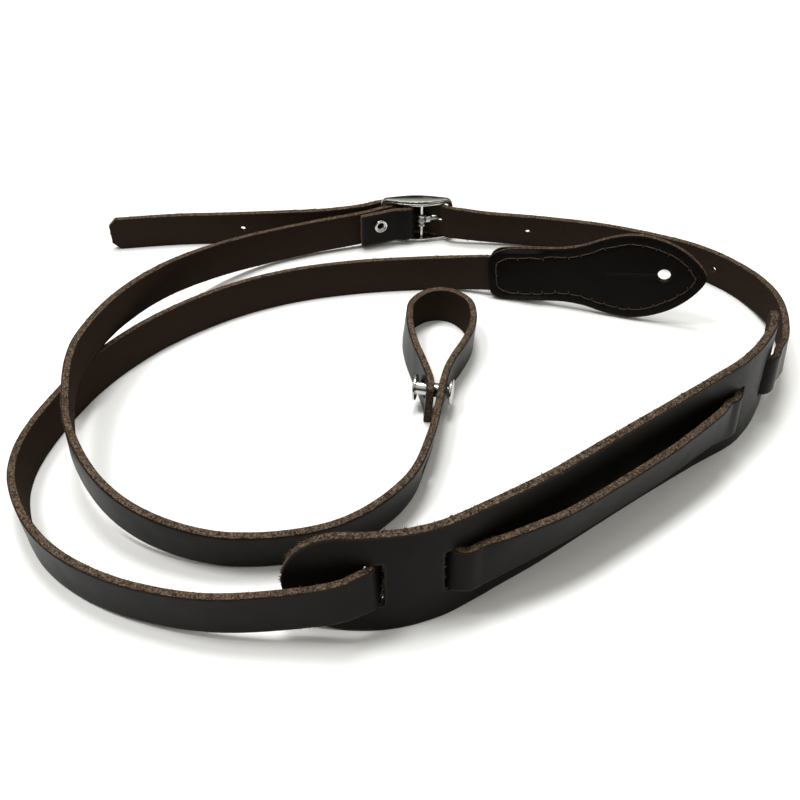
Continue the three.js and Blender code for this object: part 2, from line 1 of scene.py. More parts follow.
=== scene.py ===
# %% [markdown]
# A leather mandolin strap lies on a pale table, standing on the edges of its two narrow straps.
# We build it as a leather worker would. Every leather piece is first cut flat, with its holes and
# slots, and only then bent along the line that it lies in. The metal parts are turned or cast.
#
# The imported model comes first. It is the frame for everything that follows: each fine piece takes
# the place of one plain solid of it, in metres and in the same coordinates.

from collections import namedtuple
from functools import partial, reduce
from math import cos, pi, radians, sin, tan

import bmesh
import bpy
import numpy as np
from mathutils import Matrix, Vector, kdtree, noise


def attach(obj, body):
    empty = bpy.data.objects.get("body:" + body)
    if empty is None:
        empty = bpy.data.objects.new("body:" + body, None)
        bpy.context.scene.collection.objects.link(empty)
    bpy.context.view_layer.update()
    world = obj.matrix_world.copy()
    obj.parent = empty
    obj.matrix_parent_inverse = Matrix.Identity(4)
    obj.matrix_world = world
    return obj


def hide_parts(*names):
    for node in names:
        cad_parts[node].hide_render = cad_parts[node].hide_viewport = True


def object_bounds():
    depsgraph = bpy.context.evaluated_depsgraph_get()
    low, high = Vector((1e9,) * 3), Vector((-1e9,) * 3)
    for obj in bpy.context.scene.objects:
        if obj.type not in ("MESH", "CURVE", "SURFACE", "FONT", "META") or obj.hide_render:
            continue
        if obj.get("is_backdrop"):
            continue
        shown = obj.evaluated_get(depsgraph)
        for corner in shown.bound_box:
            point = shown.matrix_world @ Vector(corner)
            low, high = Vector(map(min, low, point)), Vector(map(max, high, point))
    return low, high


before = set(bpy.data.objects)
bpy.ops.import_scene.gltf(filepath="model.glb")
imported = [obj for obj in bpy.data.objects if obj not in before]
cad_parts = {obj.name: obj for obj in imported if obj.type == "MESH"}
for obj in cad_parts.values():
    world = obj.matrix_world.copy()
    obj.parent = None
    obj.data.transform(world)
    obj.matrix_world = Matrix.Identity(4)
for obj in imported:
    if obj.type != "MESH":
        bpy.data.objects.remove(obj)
cad_box = [list(corner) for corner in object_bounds()]
print("solids in the frame:", ", ".join(sorted(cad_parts)))

# %% [markdown]
# A strap's line on the table is a short list of places that it passes, with a smooth curve through
# them. `lift` is how high its lower edge is above the table, and `lean` tips its upper edge towards
# its grain side, in degrees. The tables are in millimetres, as leather work is. `MIDDLE` is where
# the middle of the whole model lies in these tables.

# %% Places that the straps pass
MM = 0.001
MIDDLE = np.array([-3.15, -0.78, 0])
Row = namedtuple("Row", "x y lift lean")


def rows(*table):
    return [Row(*numbers) for numbers in table]


STRAP_WIDTH, STRAP_THICK = 14.0, 2.5
PAD_HEIGHT, PAD_THICK = 33.0, 2.7
BUCKLE_AT = (-4.95, 100.6)
STRAP_BAR = (-4.75, -2.2)
FOLD_RADIUS = 2.5

short_near_layer = rows((-28.2, 90.8, 2, 3), (-20.5, 93.7, 2.2, 3), (-14, 95.7, 2.5, 1))
short_run = rows(
    (-14.5, 99.9, 2.5, 0), (-20.5, 97.3, 2.2, 2), (-27, 94.3, 2, 1),
    (-49.5, 86.9, 1.2, 2), (-69.5, 77.2, 1.5, 4), (-86.8, 61.6, 4.6, 0),
    (-101, 39.4, 9.4, -6), (-110.6, 13.2, 13.8, -8), (-115.4, -7, 14.7, -8),
    (-116, -19, 14.9, -8), (-113.5, -35, 13.4, -6), (-108.5, -50, 10, -2),
    (-96, -66.7, 5.5, 2), (-80, -77, 2.5, 5), (-58, -82, 0.5, 8),
    (-29, -76.5, 0, 10), (-10.5, -59.5, 0, 10), (-3.5, -40.5, 0, 10),
    (-0.6, -27, 0, 8), (0.9, -18.5, 0, 7), (2.7, -10, 0, 7),
)
button_loop = rows(
    (5.7, -1.5, 0, 7), (9.5, 6.5, 0, 7), (12.6, 14.5, 0, 5), (14.1, 23, 0, 3),
    (12.8, 31.8, 0, 3), (6.4, 38.4, 0, 0), (-1.3, 38.2, 0, -4), (-7.9, 31.5, 0, -7),
    (-9.2, 22.3, 0, -6), (-8.5, 13, 0, -5), (-6.7, 3.6, 0, -4), (-4.3, -5.8, 0, -4),
    (-2.5, -15, 0, -4), (-2.6, -20.7, 0, -4),
)
pad_run = rows(
    (-42, -99.5, 0, -3), (-17.5, -100.5, 0, -5), (-3, -97, 0, -3), (14, -87, 0, -1),
    (29, -77, 0, 0), (45, -65, 0, 0), (62, -52.5, 0, 0), (78.7, -40.3, 0, -1),
    (95.1, -28, 0, -4), (106.7, -12.5, 0, -3), (114.4, 6, 0, -6),
)
long_front = rows(
    (8, 60.5, 0.5, 4), (-4.5, 60.6, 0.1, 2), (-29.5, 57.9, 0, 3),
    (-54.5, 51.5, 0, 3), (-76.5, 40.5, 0, 3), (-98, 22.5, 0, 2), (-113, 2, 0, 2),
    (-121.5, -19, 0, 0), (-126.5, -44, 0, 2), (-123.8, -60.7, 0, 3),
    (-110.7, -81.5, 0, 1), (-91, -95.5, 0.5, 1), (-63, -104.2, 2.2, 2),
)
long_side = rows(
    (117.6, -0.8, 6.6, -6), (123.7, 15, 4, -8), (126.5, 30, 2, -6),
    (125.2, 43, 1, -4), (119.6, 57, 0, -3), (107.8, 70.1, 0, -2),
    (94, 78.4, 0, -2), (72.7, 87.4, 0, -2),
    (48.5, 92.8, 0.5, -5), (24, 95.2, 1.6, -6),
)
long_buckle = rows(
    (15, 96.2, 2.3, -3), (9.3, 97.4, 2.5, -1), (3.8, 101.25, 2.5, -2),
    (-3, 103.6, 2.5, 0), (-10, 104, 2.5, 0), (-19.4, 103.7, 2.5, -2),
    (-28, 100.8, 2, -3), (-43, 98.9, 1, -3), (-64, 97.9, 0.4, -2), (-86, 97, 0, -2),
    (-108, 95.7, 0, -2), (-134.3, 92, 0, -2),
)

# %% [markdown]
# The curve is a centripetal Catmull-Rom spline. It goes through every row and never loops between
# two of them, however unevenly they are spaced. We sample it finely once. After that a place on the
# leather is only a distance along the strap, and numpy reads the rest off the samples: the middle of
# the section, its grain side and its upper edge.

# %% The line of a strap
def spline(points, per_span=60):
    points = np.array(points, float)
    points = np.vstack([2 * points[0] - points[1], points, 2 * points[-1] - points[-2]])
    t = np.linspace(0, 1, per_span, endpoint=False)[:, None]
    spans = []
    for p0, p1, p2, p3 in zip(points, points[1:], points[2:], points[3:]):
        d0, d1, d2 = (np.linalg.norm(b - a) ** 0.5 for a, b in ((p0, p1), (p1, p2), (p2, p3)))
        start = ((p1 - p0) / d0 - (p2 - p0) / (d0 + d1) + (p2 - p1) / d1) * d1
        end = ((p2 - p1) / d1 - (p3 - p1) / (d1 + d2) + (p3 - p2) / d2) * d1
        cubic, square = 2 * (p1 - p2) + start + end, 3 * (p2 - p1) - 2 * start - end
        spans.append(((cubic * t + square) * t + start) * t + p1)
    return np.vstack(spans + [points[-2:-1]])


def distances_along(points):
    return np.append(0, np.cumsum(np.linalg.norm(np.diff(points, axis=0), axis=1)))


class Route:
    """The line of a strap: all about its section, by the distance along it in millimetres."""

    def __init__(self, rows, width, thick):
        samples = spline([(row.x, row.y, row.lift) for row in rows])
        row_at = np.linspace(0, len(rows) - 1, len(samples))
        self.lean = np.radians(np.interp(row_at, range(len(rows)), [row.lean for row in rows]))
        self.s = distances_along(samples)
        self.length = self.s[-1]
        standing = (width * np.cos(self.lean) + thick * np.abs(np.sin(self.lean))) / 2
        height = np.maximum(samples[:, 2], 0) + standing
        self.centre = np.column_stack([samples[:, :2], height])
        going = np.gradient(samples[:, :2], axis=0)
        self.heading = np.unwrap(np.arctan2(going[:, 1], going[:, 0]))

    def at(self, s):
        """The middle of the section, the way its grain looks and its way up, at distances s."""
        centre = np.column_stack([np.interp(s, self.s, column) for column in self.centre.T])
        heading, lean = (np.interp(s, self.s, value)[:, None] for value in (self.heading, self.lean))
        right = np.hstack([np.sin(heading), -np.cos(heading), 0 * heading])
        sky = np.array([0, 0, 1])
        return centre, right * np.cos(lean) - sky * np.sin(lean), right * np.sin(lean) + sky * np.cos(lean)

    def stations(self, step, turn):
        """Distances that lie closer together where the strap turns."""
        turned = np.append(0, np.cumsum(np.abs(np.diff(self.heading))))
        effort = self.s / step + np.degrees(turned) / turn
        return np.interp(np.linspace(0, effort[-1], int(effort[-1]) + 1), effort, self.s)

    def nearest(self, x, y):
        return self.s[np.argmin(np.hypot(self.centre[:, 0] - x, self.centre[:, 1] - y))]


# %% [markdown]
# Three stretches are worked out instead of listed. The short strap's fold is half a turn round its
# bar. The long strap's end lies straight between the leaves of the end tab, which leans back and
# rises towards its tip. And where the long strap weaves through the four slots of the pad, its rows
# are given by the distance along the pad and out of it, so that they follow the pad's own bend.

# %% The three lines
FOLD_LIFT = 2.5
fold_x, fold_y = np.add(BUCKLE_AT, STRAP_BAR)
fold = [
    Row(fold_x + FOLD_RADIUS * cos(angle), fold_y + FOLD_RADIUS * sin(angle), FOLD_LIFT, 0)
    for angle in np.radians([-90, -45, 0, 45, 90])
]
short_route = Route(short_near_layer + fold + short_run + button_loop, STRAP_WIDTH, STRAP_THICK)
pad_route = Route(pad_run, PAD_HEIGHT, PAD_THICK)

TAB_AT = (23.05, 57.7, 9.3)
TAB_YAW, TAB_SLOPE, TAB_LEAN = -16, 8.1, 9.0
TAB_STRAP_INSIDE = 16.0
tab_matrix = Matrix.Translation(TAB_AT)
for angle, axis in ((TAB_YAW, "Z"), (-TAB_SLOPE, "Y"), (-TAB_LEAN, "X")):
    tab_matrix = tab_matrix @ Matrix.Rotation(radians(angle), 4, axis)
standing = (STRAP_WIDTH * cos(radians(TAB_LEAN)) + STRAP_THICK * sin(radians(TAB_LEAN))) / 2


def row_in_tab(along):
    place = tab_matrix @ Vector((along, 0, 0))
    return Row(place.x, place.y, place.z - standing, TAB_LEAN)


def row_by_pad(along, out, lift, lean):
    centre, grain, _ = (rows[0] for rows in pad_route.at(np.array([along])))
    x, y = centre[:2] + grain[:2] / np.linalg.norm(grain[:2]) * out
    return Row(x, y, lift, lean)


PAD_SLOTS = (23.4, 44.2, 154.6, 174.8)
SLOT_DIVE = ((-7, 3.3), (-3.4, 3.3), (-1.1, 2), (1.1, -2), (3.4, -3.3), (7, -3.3))
BEHIND_OUT, BEHIND_LIFT, BEHIND_LEAN = -3.2, 9.5, -4


def behind_pad(first, second):
    """Through one slot, along the back of the pad, and out through the next one."""
    places = [(first + along, out) for along, out in SLOT_DIVE]
    places += [((first + second) / 2, BEHIND_OUT)]
    places += [(second + along, -out) for along, out in SLOT_DIVE]
    return [row_by_pad(*place, BEHIND_LIFT, BEHIND_LEAN) for place in places]


def along_pad(*table):
    """Rows from how far they are along the pad, how far out of it, their lift and their lean."""
    return [row_by_pad(*numbers) for numbers in table]


weave = along_pad((8, 5.7, 6.4, 0), (16.5, 4.9, 8.8, -2)) + behind_pad(*PAD_SLOTS[:2])[1:]
weave += along_pad(
    (60, 4.4, 9.8, 3), (77, 5.7, 9.8, 10), (99, 6.2, 9.8, 10), (120, 5.9, 9.8, 9), (141, 4.4, 10.2, 5))
weave += behind_pad(*PAD_SLOTS[2:]) + along_pad((185, 3.6, 8.7, -4))
in_tab = [row_in_tab(along) for along in (TAB_STRAP_INSIDE, TAB_STRAP_INSIDE / 2, 0, -2, -4)]
long_rows = in_tab + long_front + weave + long_side + long_buckle
long_route = Route(long_rows, STRAP_WIDTH, STRAP_THICK)
for title, route in (("short strap", short_route), ("long strap", long_route), ("pad", pad_route)):
    print(f"{title}: {route.length:.0f} mm long when it is flat")

# %% [markdown]
# Cutting leather flat. A grid is the blank: its columns lie along the strap and its rows across it.
# A hole is punched by lifting out a few faces and pulling the rim of the gap inwards to the outline
# of the punch, so there are clean quads all round. `disc_from_square` is the little formula that
# turns a square outline into a round one with evenly spaced points. It rounds the pad's ends too.

# %% Cut a blank and punch it
PUNCH_MARGIN = 0.8  # how far outside a hole the faces are lifted out


def everything(bm):
    return bm.verts[:] + bm.edges[:] + bm.faces[:]


def grid(along, across):
    """A new grid of faces, and a list of its points with their columns and rows."""
    bm = bmesh.new()
    bmesh.ops.create_grid(bm, x_segments=along, y_segments=across, size=1)
    return bm, [
        (vert, round((vert.co.x + 1) / 2 * along), round((vert.co.y + 1) / 2 * across))
        for vert in bm.verts
    ]


def blank(stations, columns, half_width):
    bm, points = grid(len(stations) - 1, len(columns) - 1)
    for vert, i, j in points:
        vert.co = (stations[i], half_width * columns[j], 0)
    return bm


def disc_from_square(x, y):
    return x * (1 - y * y / 2) ** 0.5, y * (1 - x * x / 2) ** 0.5


def round_hole(radius, stretch=1):
    def outline(x, y):
        way = Vector(disc_from_square(x, y)).normalized()
        return radius * stretch * way.x, radius * way.y
    return outline


def slot_hole(width, height, corner):
    def outline(x, y):
        x, y = x * width / 2, y * height / 2
        over = Vector((max(abs(x) - width / 2 + corner, 0), max(abs(y) - height / 2 + corner, 0)))
        if over.x and over.y:
            over = over.normalized() * corner
            x = (width / 2 - corner + over.x) * (1 if x > 0 else -1)
            y = (height / 2 - corner + over.y) * (1 if y > 0 else -1)
        return x, y
    return outline


def punch(bm, s, v, reach, outline):
    """Opens the faces within reach of (s, v) and pulls the rim in to the outline of a hole."""
    middles = {face: face.calc_center_median() for face in bm.faces}
    gap = {f for f, at in middles.items() if abs(at.x - s) < reach[0] and abs(at.y - v) < reach[1]}
    rim = [e for f in gap for e in f.edges if sum(g in gap for g in e.link_faces) == 1]
    bmesh.ops.delete(bm, geom=list(gap), context="FACES")
    inner = bmesh.ops.extrude_edge_only(bm, edges=[e for e in rim if e.is_valid])["geom"]
    ring = [g for g in inner if isinstance(g, bmesh.types.BMVert)]
    xs, ys = [vert.co.x for vert in ring], [vert.co.y for vert in ring]
    for vert in ring:
        x = 2 * (vert.co.x - min(xs)) / (max(xs) - min(xs)) - 1
        y = 2 * (vert.co.y - min(ys)) / (max(ys) - min(ys)) - 1
        dx, dy = outline(x, y)
        vert.co = (s + dx, v + dy, 0)


# %% [markdown]
# The flat sheet is extruded to its thickness, which gives it walls. The walls get more rows of
# faces for the raw edge, and a small bevel rolls the two rims over, as a blunt knife does.
#
# While a piece is still flat we note two things on each of its points, for the materials to read
# later: its place on the hide, in millimetres, with the depth below the grain side as third number,
# and how far it is from the cut edge. Then the edge is frayed a little and the faces swell and sink
# by a hair's breadth, with a noise that gives the same result on each run.

# %% Thickness, notes and unevenness
SHARP_EDGE = radians(60)


def round_edges(bm, edges, offset, segments):
    bmesh.ops.bevel(
        bm, geom=edges, offset=offset, offset_type="OFFSET", segments=segments, profile=0.5,
        affect="EDGES", material=-1, clamp_overlap=True)


def thicken(bm, thick, rounding=0.3, wall_rows=4):
    bmesh.ops.recalc_face_normals(bm, faces=bm.faces[:])
    lower = bmesh.ops.extrude_face_region(bm, geom=everything(bm), use_keep_orig=True)["geom"]
    lower = [g for g in lower if isinstance(g, bmesh.types.BMVert)]
    bmesh.ops.translate(bm, vec=(0, 0, -thick), verts=lower)
    uprights = [e for e in bm.edges if abs(e.verts[0].co.z - e.verts[1].co.z) > thick / 2]
    bmesh.ops.subdivide_edges(bm, edges=uprights, cuts=wall_rows - 1, use_grid_fill=True)
    bmesh.ops.recalc_face_normals(bm, faces=bm.faces[:])
    rims = [
        e for e in bm.edges
        if e.calc_face_angle(0) > SHARP_EDGE and abs(e.verts[0].co.z - e.verts[1].co.z) < 1e-6
    ]
    round_edges(bm, rims, rounding, 2)


def nearest_finder(points):
    """A tree that finds the nearest of some flat points."""
    tree = kdtree.KDTree(len(points))
    for index, point in enumerate(points):
        tree.insert((point[0], point[1], 0), index)
    tree.balance()
    return tree


def note_place(bm, thick):
    flat = bm.verts.layers.float_vector.new("flat")
    rim = bm.verts.layers.float.new("rim")
    edge = nearest_finder([v.co for v in bm.verts if -0.8 * thick < v.co.z < -0.2 * thick])
    for vert in bm.verts:
        vert[flat] = vert.co
        vert[rim] = edge.find((vert.co.x, vert.co.y, 0))[2]


def roughen(bm, thick, fray, swell=0.07):
    bm.normal_update()
    for vert in bm.verts:
        if -0.9 * thick < vert.co.z < -0.1 * thick:
            fine, coarse = noise.noise(vert.co * 1.7), noise.noise(vert.co * 0.35)
            vert.co += vert.normal * fray * (fine + 0.8 * coarse)
        else:
            vert.co.z += swell * noise.noise(Vector((vert.co.x, vert.co.y, 7)) * 0.15)


# %% [markdown]
# Bending is one line of arithmetic for all points at once: the middle of the section at distance s,
# plus the way up times the place across, plus the grain's way times the depth. The new object stays
# at the origin, unturned, because its place is in its mesh. It rides on the only body of the part,
# and it stands for one solid of the frame.

# %% Bend a piece and add it to the scene
def points_of(bm):
    return np.array([vert.co for vert in bm.verts])


def move_points(bm, places):
    for vert, place in zip(bm.verts, places * MM):
        vert.co = place


def bend(bm, route, thick):
    flat = points_of(bm)
    centre, grain, up = route.at(flat[:, 0])
    move_points(bm, centre + up * flat[:, 1:2] + grain * (thick / 2 + flat[:, 2:3]) - MIDDLE)


def finish_sheet(bm, route, thick, fray=0.16):
    thicken(bm, thick)
    note_place(bm, thick)
    roughen(bm, thick, fray)
    bend(bm, route, thick)


def add_object(mesh, name, material, node=None):
    mesh.shade_smooth()
    mesh.materials.append(material)
    piece = bpy.data.objects.new(name, mesh)
    bpy.context.scene.collection.objects.link(piece)
    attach(piece, "root")
    if node:
        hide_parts(node)
    mesh.calc_loop_triangles()
    print(f"{name}: {len(mesh.loop_triangles)} triangles")
    return piece


def mesh_from(bm, name):
    mesh = bpy.data.meshes.new(name)
    bm.to_mesh(mesh)
    bm.free()
    return mesh


def add_piece(bm, name, material, node=None):
    if bm.calc_volume(signed=True) < 0:
        bmesh.ops.reverse_faces(bm, faces=bm.faces[:])
    return add_object(mesh_from(bm, name), name, material, node)


# %% [markdown]
# Where a pin goes through a strap, the hole is where the strap's line crosses the pin's axis. One
# pin can cross the same strap twice, as in the fold at the buckle and at the button loop. A pin that
# goes through askew needs a longer hole, by the slant of the pin across the thickness.

# %% Find the holes for pins
Hole = namedtuple("Hole", "s v radius stretch")
Pin = namedtuple("Pin", "x y z yaw hole")  # a level pin, the way it points and its hole's radius


def holes_for_pin(route, pin, reach):
    """Holes where a pin crosses the route within reach of its middle."""
    way = np.array([cos(radians(pin.yaw)), sin(radians(pin.yaw))])
    offset = route.centre[:, :2] - pin[:2]
    aside = offset @ np.array([-way[1], way[0]])
    near = np.abs(offset @ way) < reach
    holes = []
    for i in np.nonzero((aside[1:] * aside[:-1] <= 0) & near[1:])[0]:
        centre, grain, _ = (rows[0] for rows in route.at(route.s[i : i + 1]))
        straight = abs(grain[:2] @ way)
        slant = tan(np.arccos(min(straight, 1)))
        stretch = 1 / straight + slant * STRAP_THICK / 2 / pin.hole
        holes.append(Hole(route.s[i], pin.z - centre[2], pin.hole, stretch))
    return holes


def hole_at(route, x, y, z, radius):
    s = route.nearest(x, y)
    return Hole(s, z - route.at(np.array([s]))[0][0, 2], radius, 1)


# %% [markdown]
# Node trees are easier to read when one call adds a node, sets it and joins it up. A value that is
# a socket gets a link, and anything else is typed into the node's own field. Sums and products of
# sockets get short names too: each of them is one node or a row of nodes.

# %% Small helpers for nodes
def srgb(red, green, blue):
    """A colour as a paint chart names it, 0 to 255, in the linear numbers that nodes want."""
    shares = [c / 255 for c in (red, green, blue)]
    return (*(c / 12.92 if c <= 0.04045 else ((c + 0.055) / 1.055) ** 2.4 for c in shares), 1)


def tree_of(*values):
    """The node tree of the first socket among some values."""
    return next(value for value in values if isinstance(value, bpy.types.NodeSocket)).id_data


def plug(inputs, values):
    """Joins the sockets among some named values to inputs, and types in the others."""
    for name, value in values.items():
        if isinstance(value, bpy.types.NodeSocket):
            value.id_data.links.new(value, inputs[name])
        else:
            inputs[name].default_value = value


def add_node(tree, kind, inputs, **settings):
    node = tree.nodes.new(kind)
    for name, value in settings.items():
        setattr(node, name, value)
    plug(node.inputs, inputs)
    return node.outputs


def calc(operation, a, b=0.0):
    return add_node(tree_of(a, b), "ShaderNodeMath", {0: a, 1: b}, operation=operation)[0]


def plus(*terms):
    return reduce(partial(calc, "ADD"), terms)


def times(*factors):
    return reduce(partial(calc, "MULTIPLY"), factors)


def minus(a, b):
    return calc("SUBTRACT", a, b)


def blend_colours(factor, a, b, kind="MIX"):
    # Sockets 6 and 7 of a Mix node are its two colours, and output 2 is the blend
    inputs = {0: factor, 6: a, 7: b}
    return add_node(tree_of(factor, a, b), "ShaderNodeMix", inputs, data_type="RGBA", blend_type=kind)[2]


def step_between(value, low, high):
    """0 below low, 1 above high, and a soft S in between."""
    inputs = {"Value": value, "From Min": low, "From Max": high}
    return add_node(tree_of(value), "ShaderNodeMapRange", inputs, interpolation_type="SMOOTHSTEP")["Result"]


def grain_noise(place, scale, detail=3.0, roughness=0.6):
    inputs = {"Vector": place, "Scale": scale, "Detail": detail, "Roughness": roughness}
    return add_node(tree_of(place), "ShaderNodeTexNoise", inputs)["Fac"]


def attribute(tree, name):
    return add_node(tree, "ShaderNodeAttribute", {}, attribute_name=name)


def place_on_object(tree):
    return add_node(tree, "ShaderNodeTexCoord", {})["Object"]


def new_group(name, inputs, outputs):
    group = bpy.data.node_groups.new(name, "ShaderNodeTree")
    for way, sockets in (("INPUT", inputs), ("OUTPUT", outputs)):
        for title, kind in sockets.items():
            group.interface.new_socket(title, in_out=way, socket_type="NodeSocket" + kind)
    return group, group.nodes.new("NodeGroupInput").outputs, group.nodes.new("NodeGroupOutput").inputs


# %% [markdown]
# Strap leather has three faces. The grain side is dyed nearly black and has a smooth finish with
# fine pores. The flesh side is a matt, reddish brown suede. The cut edge was never dyed: it shows
# the raw light brown fibres, with specks of dye, and a thin dark line where the finish ends. One
# node group tells them apart by the depth that we noted on each point, and each leather puts in its
# own colours. Distances in it are in millimetres of hide.

# %% Node group: the three faces of a hide
def make_hide_group():
    group, given, result = new_group(
        "Hide",
        {"Grain": "Color", "Flesh": "Color", "Fibre": "Color", "Dark Fibre": "Color",
         "Pale Fibre": "Color", "Thickness": "Float", "Edge Wear And Sheen": "Float"},
        {"Color": "Color", "Roughness": "Float", "Finish": "Float", "Height": "Float"},
    )
    place = attribute(group, "flat")["Vector"]
    depth = times(add_node(group, "ShaderNodeSeparateXYZ", {0: place})["Z"], -1.0)
    wavy = plus(depth, minus(times(grain_noise(place, 1.1, 2.0), 0.3), 0.15))
    below_grain = step_between(wavy, 0.1, 0.24)
    above_flesh = step_between(minus(given["Thickness"], wavy), 0.1, 0.24)

    # Grain side: cloudy dye, and beside the edge a lighter band of fibre colour: partly dye worn thin,
    # partly a painted sheen where light grazes the edge
    mottle = grain_noise(place, 1.6, 4.0, 0.7)
    shade = plus(times(grain_noise(place, 0.05), 0.5), times(mottle, 0.5), 0.5)
    shades = {"Red": shade, "Green": shade, "Blue": shade}
    dye = add_node(group, "ShaderNodeCombineColor", shades)["Color"]
    grain = blend_colours(1.0, given["Grain"], dye, "MULTIPLY")
    near_edge = minus(1.0, step_between(attribute(group, "rim")["Fac"], 0.15, 0.9))
    grain = blend_colours(times(near_edge, mottle, given["Edge Wear And Sheen"]), grain, given["Fibre"])

    # Flesh side: short fibres that lie along the strap
    stretch = {0: place, 1: (0.45, 1.6, 1.0)}
    along = add_node(group, "ShaderNodeVectorMath", stretch, operation="MULTIPLY")["Vector"]
    suede = grain_noise(along, 1.1, 5.0, 0.75)
    flesh = blend_colours(times(suede, 0.12), given["Flesh"], given["Fibre"])

    # Cut edge: every bundle of fibres ends in a tone of its own, over tangled hollows
    tangle = grain_noise(place, 1.5, 5.0, 0.8)
    stir = add_node(group, "ShaderNodeTexNoise", {"Vector": place, "Scale": 2.0})["Color"]
    stirred = add_node(group, "ShaderNodeVectorMath", {0: stir, 1: place}, operation="ADD")["Vector"]
    ends = add_node(group, "ShaderNodeTexVoronoi", {"Vector": stirred, "Scale": 2.9})["Color"]
    tone = add_node(group, "ShaderNodeSeparateColor", {"Color": ends})["Red"]
    tone = plus(tone, times(minus(tangle, 0.5), 1.6))
    edge = blend_colours(step_between(tone, 0.1, 0.5), given["Dark Fibre"], given["Fibre"])
    edge = blend_colours(step_between(tone, 0.62, 0.95), edge, given["Pale Fibre"])
    dyed = minus(1.0, step_between(wavy, 0.2, 0.55))
    edge = blend_colours(times(dyed, 0.85), edge, given["Grain"])

    # Roughness, finish coat and relief of each face
    finish = minus(1.0, below_grain)
    smooth = plus(0.42, times(mottle, 0.16))
    roughness = {"Value": below_grain, "To Min": smooth, "To Max": 0.9}
    pores = add_node(
        group, "ShaderNodeTexVoronoi", {"Vector": place, "Scale": 2.2}, feature="SMOOTH_F1")["Distance"]
    skin = times(plus(times(pores, 0.25), times(mottle, 0.3)), finish)
    shag = times(tangle, 4.0, calc("MINIMUM", below_grain, above_flesh))
    nap = times(suede, 1.6, minus(1.0, above_flesh))
    plug(result, {
        "Color": blend_colours(below_grain, grain, blend_colours(above_flesh, flesh, edge)),
        "Roughness": add_node(group, "ShaderNodeMapRange", roughness)["Result"],
        "Finish": finish,
        "Height": plus(skin, shag, nap),
    })
    return group


hide = make_hide_group()
print("node group", hide.name, "with", len(hide.nodes), "nodes")

# %% [markdown]
# Each leather is a Principled shader fed by the hide group. The finish is a thin clear coat, so that
# only the grain side glints. Numbers that are the same all over sit on the shader's own sockets.

# %% The leathers
TAB_THICK = 1.1
STRAP_COLOURS = {
    "Grain": srgb(16, 14, 10), "Flesh": srgb(38, 29, 23), "Fibre": srgb(84, 70, 57),
    "Dark Fibre": srgb(44, 36, 30), "Pale Fibre": srgb(118, 102, 86),
}
TAB_COLOURS = {
    "Grain": srgb(10, 8, 5), "Flesh": srgb(24, 19, 15), "Fibre": srgb(96, 78, 62),
    "Dark Fibre": srgb(50, 41, 34), "Pale Fibre": srgb(140, 120, 98),
}
HIDE_RELIEF, THREAD_RELIEF, SCRATCH_RELIEF = 0.08 * MM, 0.06 * MM, 0.001 * MM


def new_material(name, values):
    material = bpy.data.materials.new(name)
    material.use_nodes = True
    shader = material.node_tree.nodes["Principled BSDF"].inputs
    plug(shader, values)
    return material, material.node_tree, shader


def relief(height, depth):
    inputs = {"Height": height, "Strength": 1.0, "Distance": depth}
    return add_node(tree_of(height), "ShaderNodeBump", inputs)["Normal"]


def leather(name, thick, edge_wear_and_sheen, colours):
    matt = {"Specular IOR Level": 0.03, "Coat Roughness": 0.42, "Coat IOR": 1.11}
    material, tree, shader = new_material(name, matt)
    values = {**colours, "Thickness": thick, "Edge Wear And Sheen": edge_wear_and_sheen}
    made = add_node(tree, "ShaderNodeGroup", values, node_tree=hide)
    plug(shader, {
        "Base Color": made["Color"], "Roughness": made["Roughness"], "Coat Weight": made["Finish"],
        "Normal": relief(made["Height"], HIDE_RELIEF),
    })
    return material


# The third number sets the lighter band beside the cut edge: worn dye and a painted sheen
strap_leather = leather("strap_leather", STRAP_THICK, 0.35, STRAP_COLOURS)
pad_leather = leather("pad_leather", PAD_THICK, 0.3, STRAP_COLOURS)
tab_leather = leather("tab_leather", TAB_THICK, 0.12, TAB_COLOURS)

# %% [markdown]
# Loose fibre ends stand on the raw edge. Each one has a tone of its own, noted on its points, that
# picks a colour between the dark and the pale fibre. The sewing thread is brown with a fine twist.

# %% Fibre ends and thread
def fuzz_material():
    material, tree, shader = new_material("fibre_ends", {"Specular IOR Level": 0.1, "Roughness": 0.9})
    tone = attribute(tree, "tone")["Fac"]
    streak = grain_noise(place_on_object(tree), 900.0, 2.0)
    mixed = plus(times(tone, 0.75), times(streak, 0.25))
    ramp = add_node(tree, "ShaderNodeValToRGB", {"Fac": mixed})["Color"]
    points = ramp.node.color_ramp.elements
    points[0].position, points[0].color = 0.1, STRAP_COLOURS["Dark Fibre"]
    points[1].position, points[1].color = 0.9, STRAP_COLOURS["Pale Fibre"]
    points.new(0.5).color = STRAP_COLOURS["Fibre"]
    plug(shader, {"Base Color": ramp})
    return material


def thread_material():
    material, tree, shader = new_material("tab_thread", {"Specular IOR Level": 0.2, "Roughness": 0.7})
    place = attribute(tree, "flat")["Vector"]
    inputs = {"Vector": place, "Scale": 1.4, "Distortion": 0.4, "Detail": 1.0}
    twist = add_node(tree, "ShaderNodeTexWave", inputs, bands_direction="DIAGONAL")["Fac"]
    colour = blend_colours(twist, srgb(54, 42, 34), srgb(98, 79, 64))
    plug(shader, {"Base Color": colour, "Normal": relief(twist, THREAD_RELIEF)})
    return material


fibre_ends = fuzz_material()
tab_thread = thread_material()

# %% [markdown]
# The buckle and the rivets are plated with chrome. New chrome is a mirror. A little handling leaves
# fine scratches in all directions and dull patches, so the roughness and the relief vary. Buckle and
# rivets share one node group and put in their own amount of dulling.

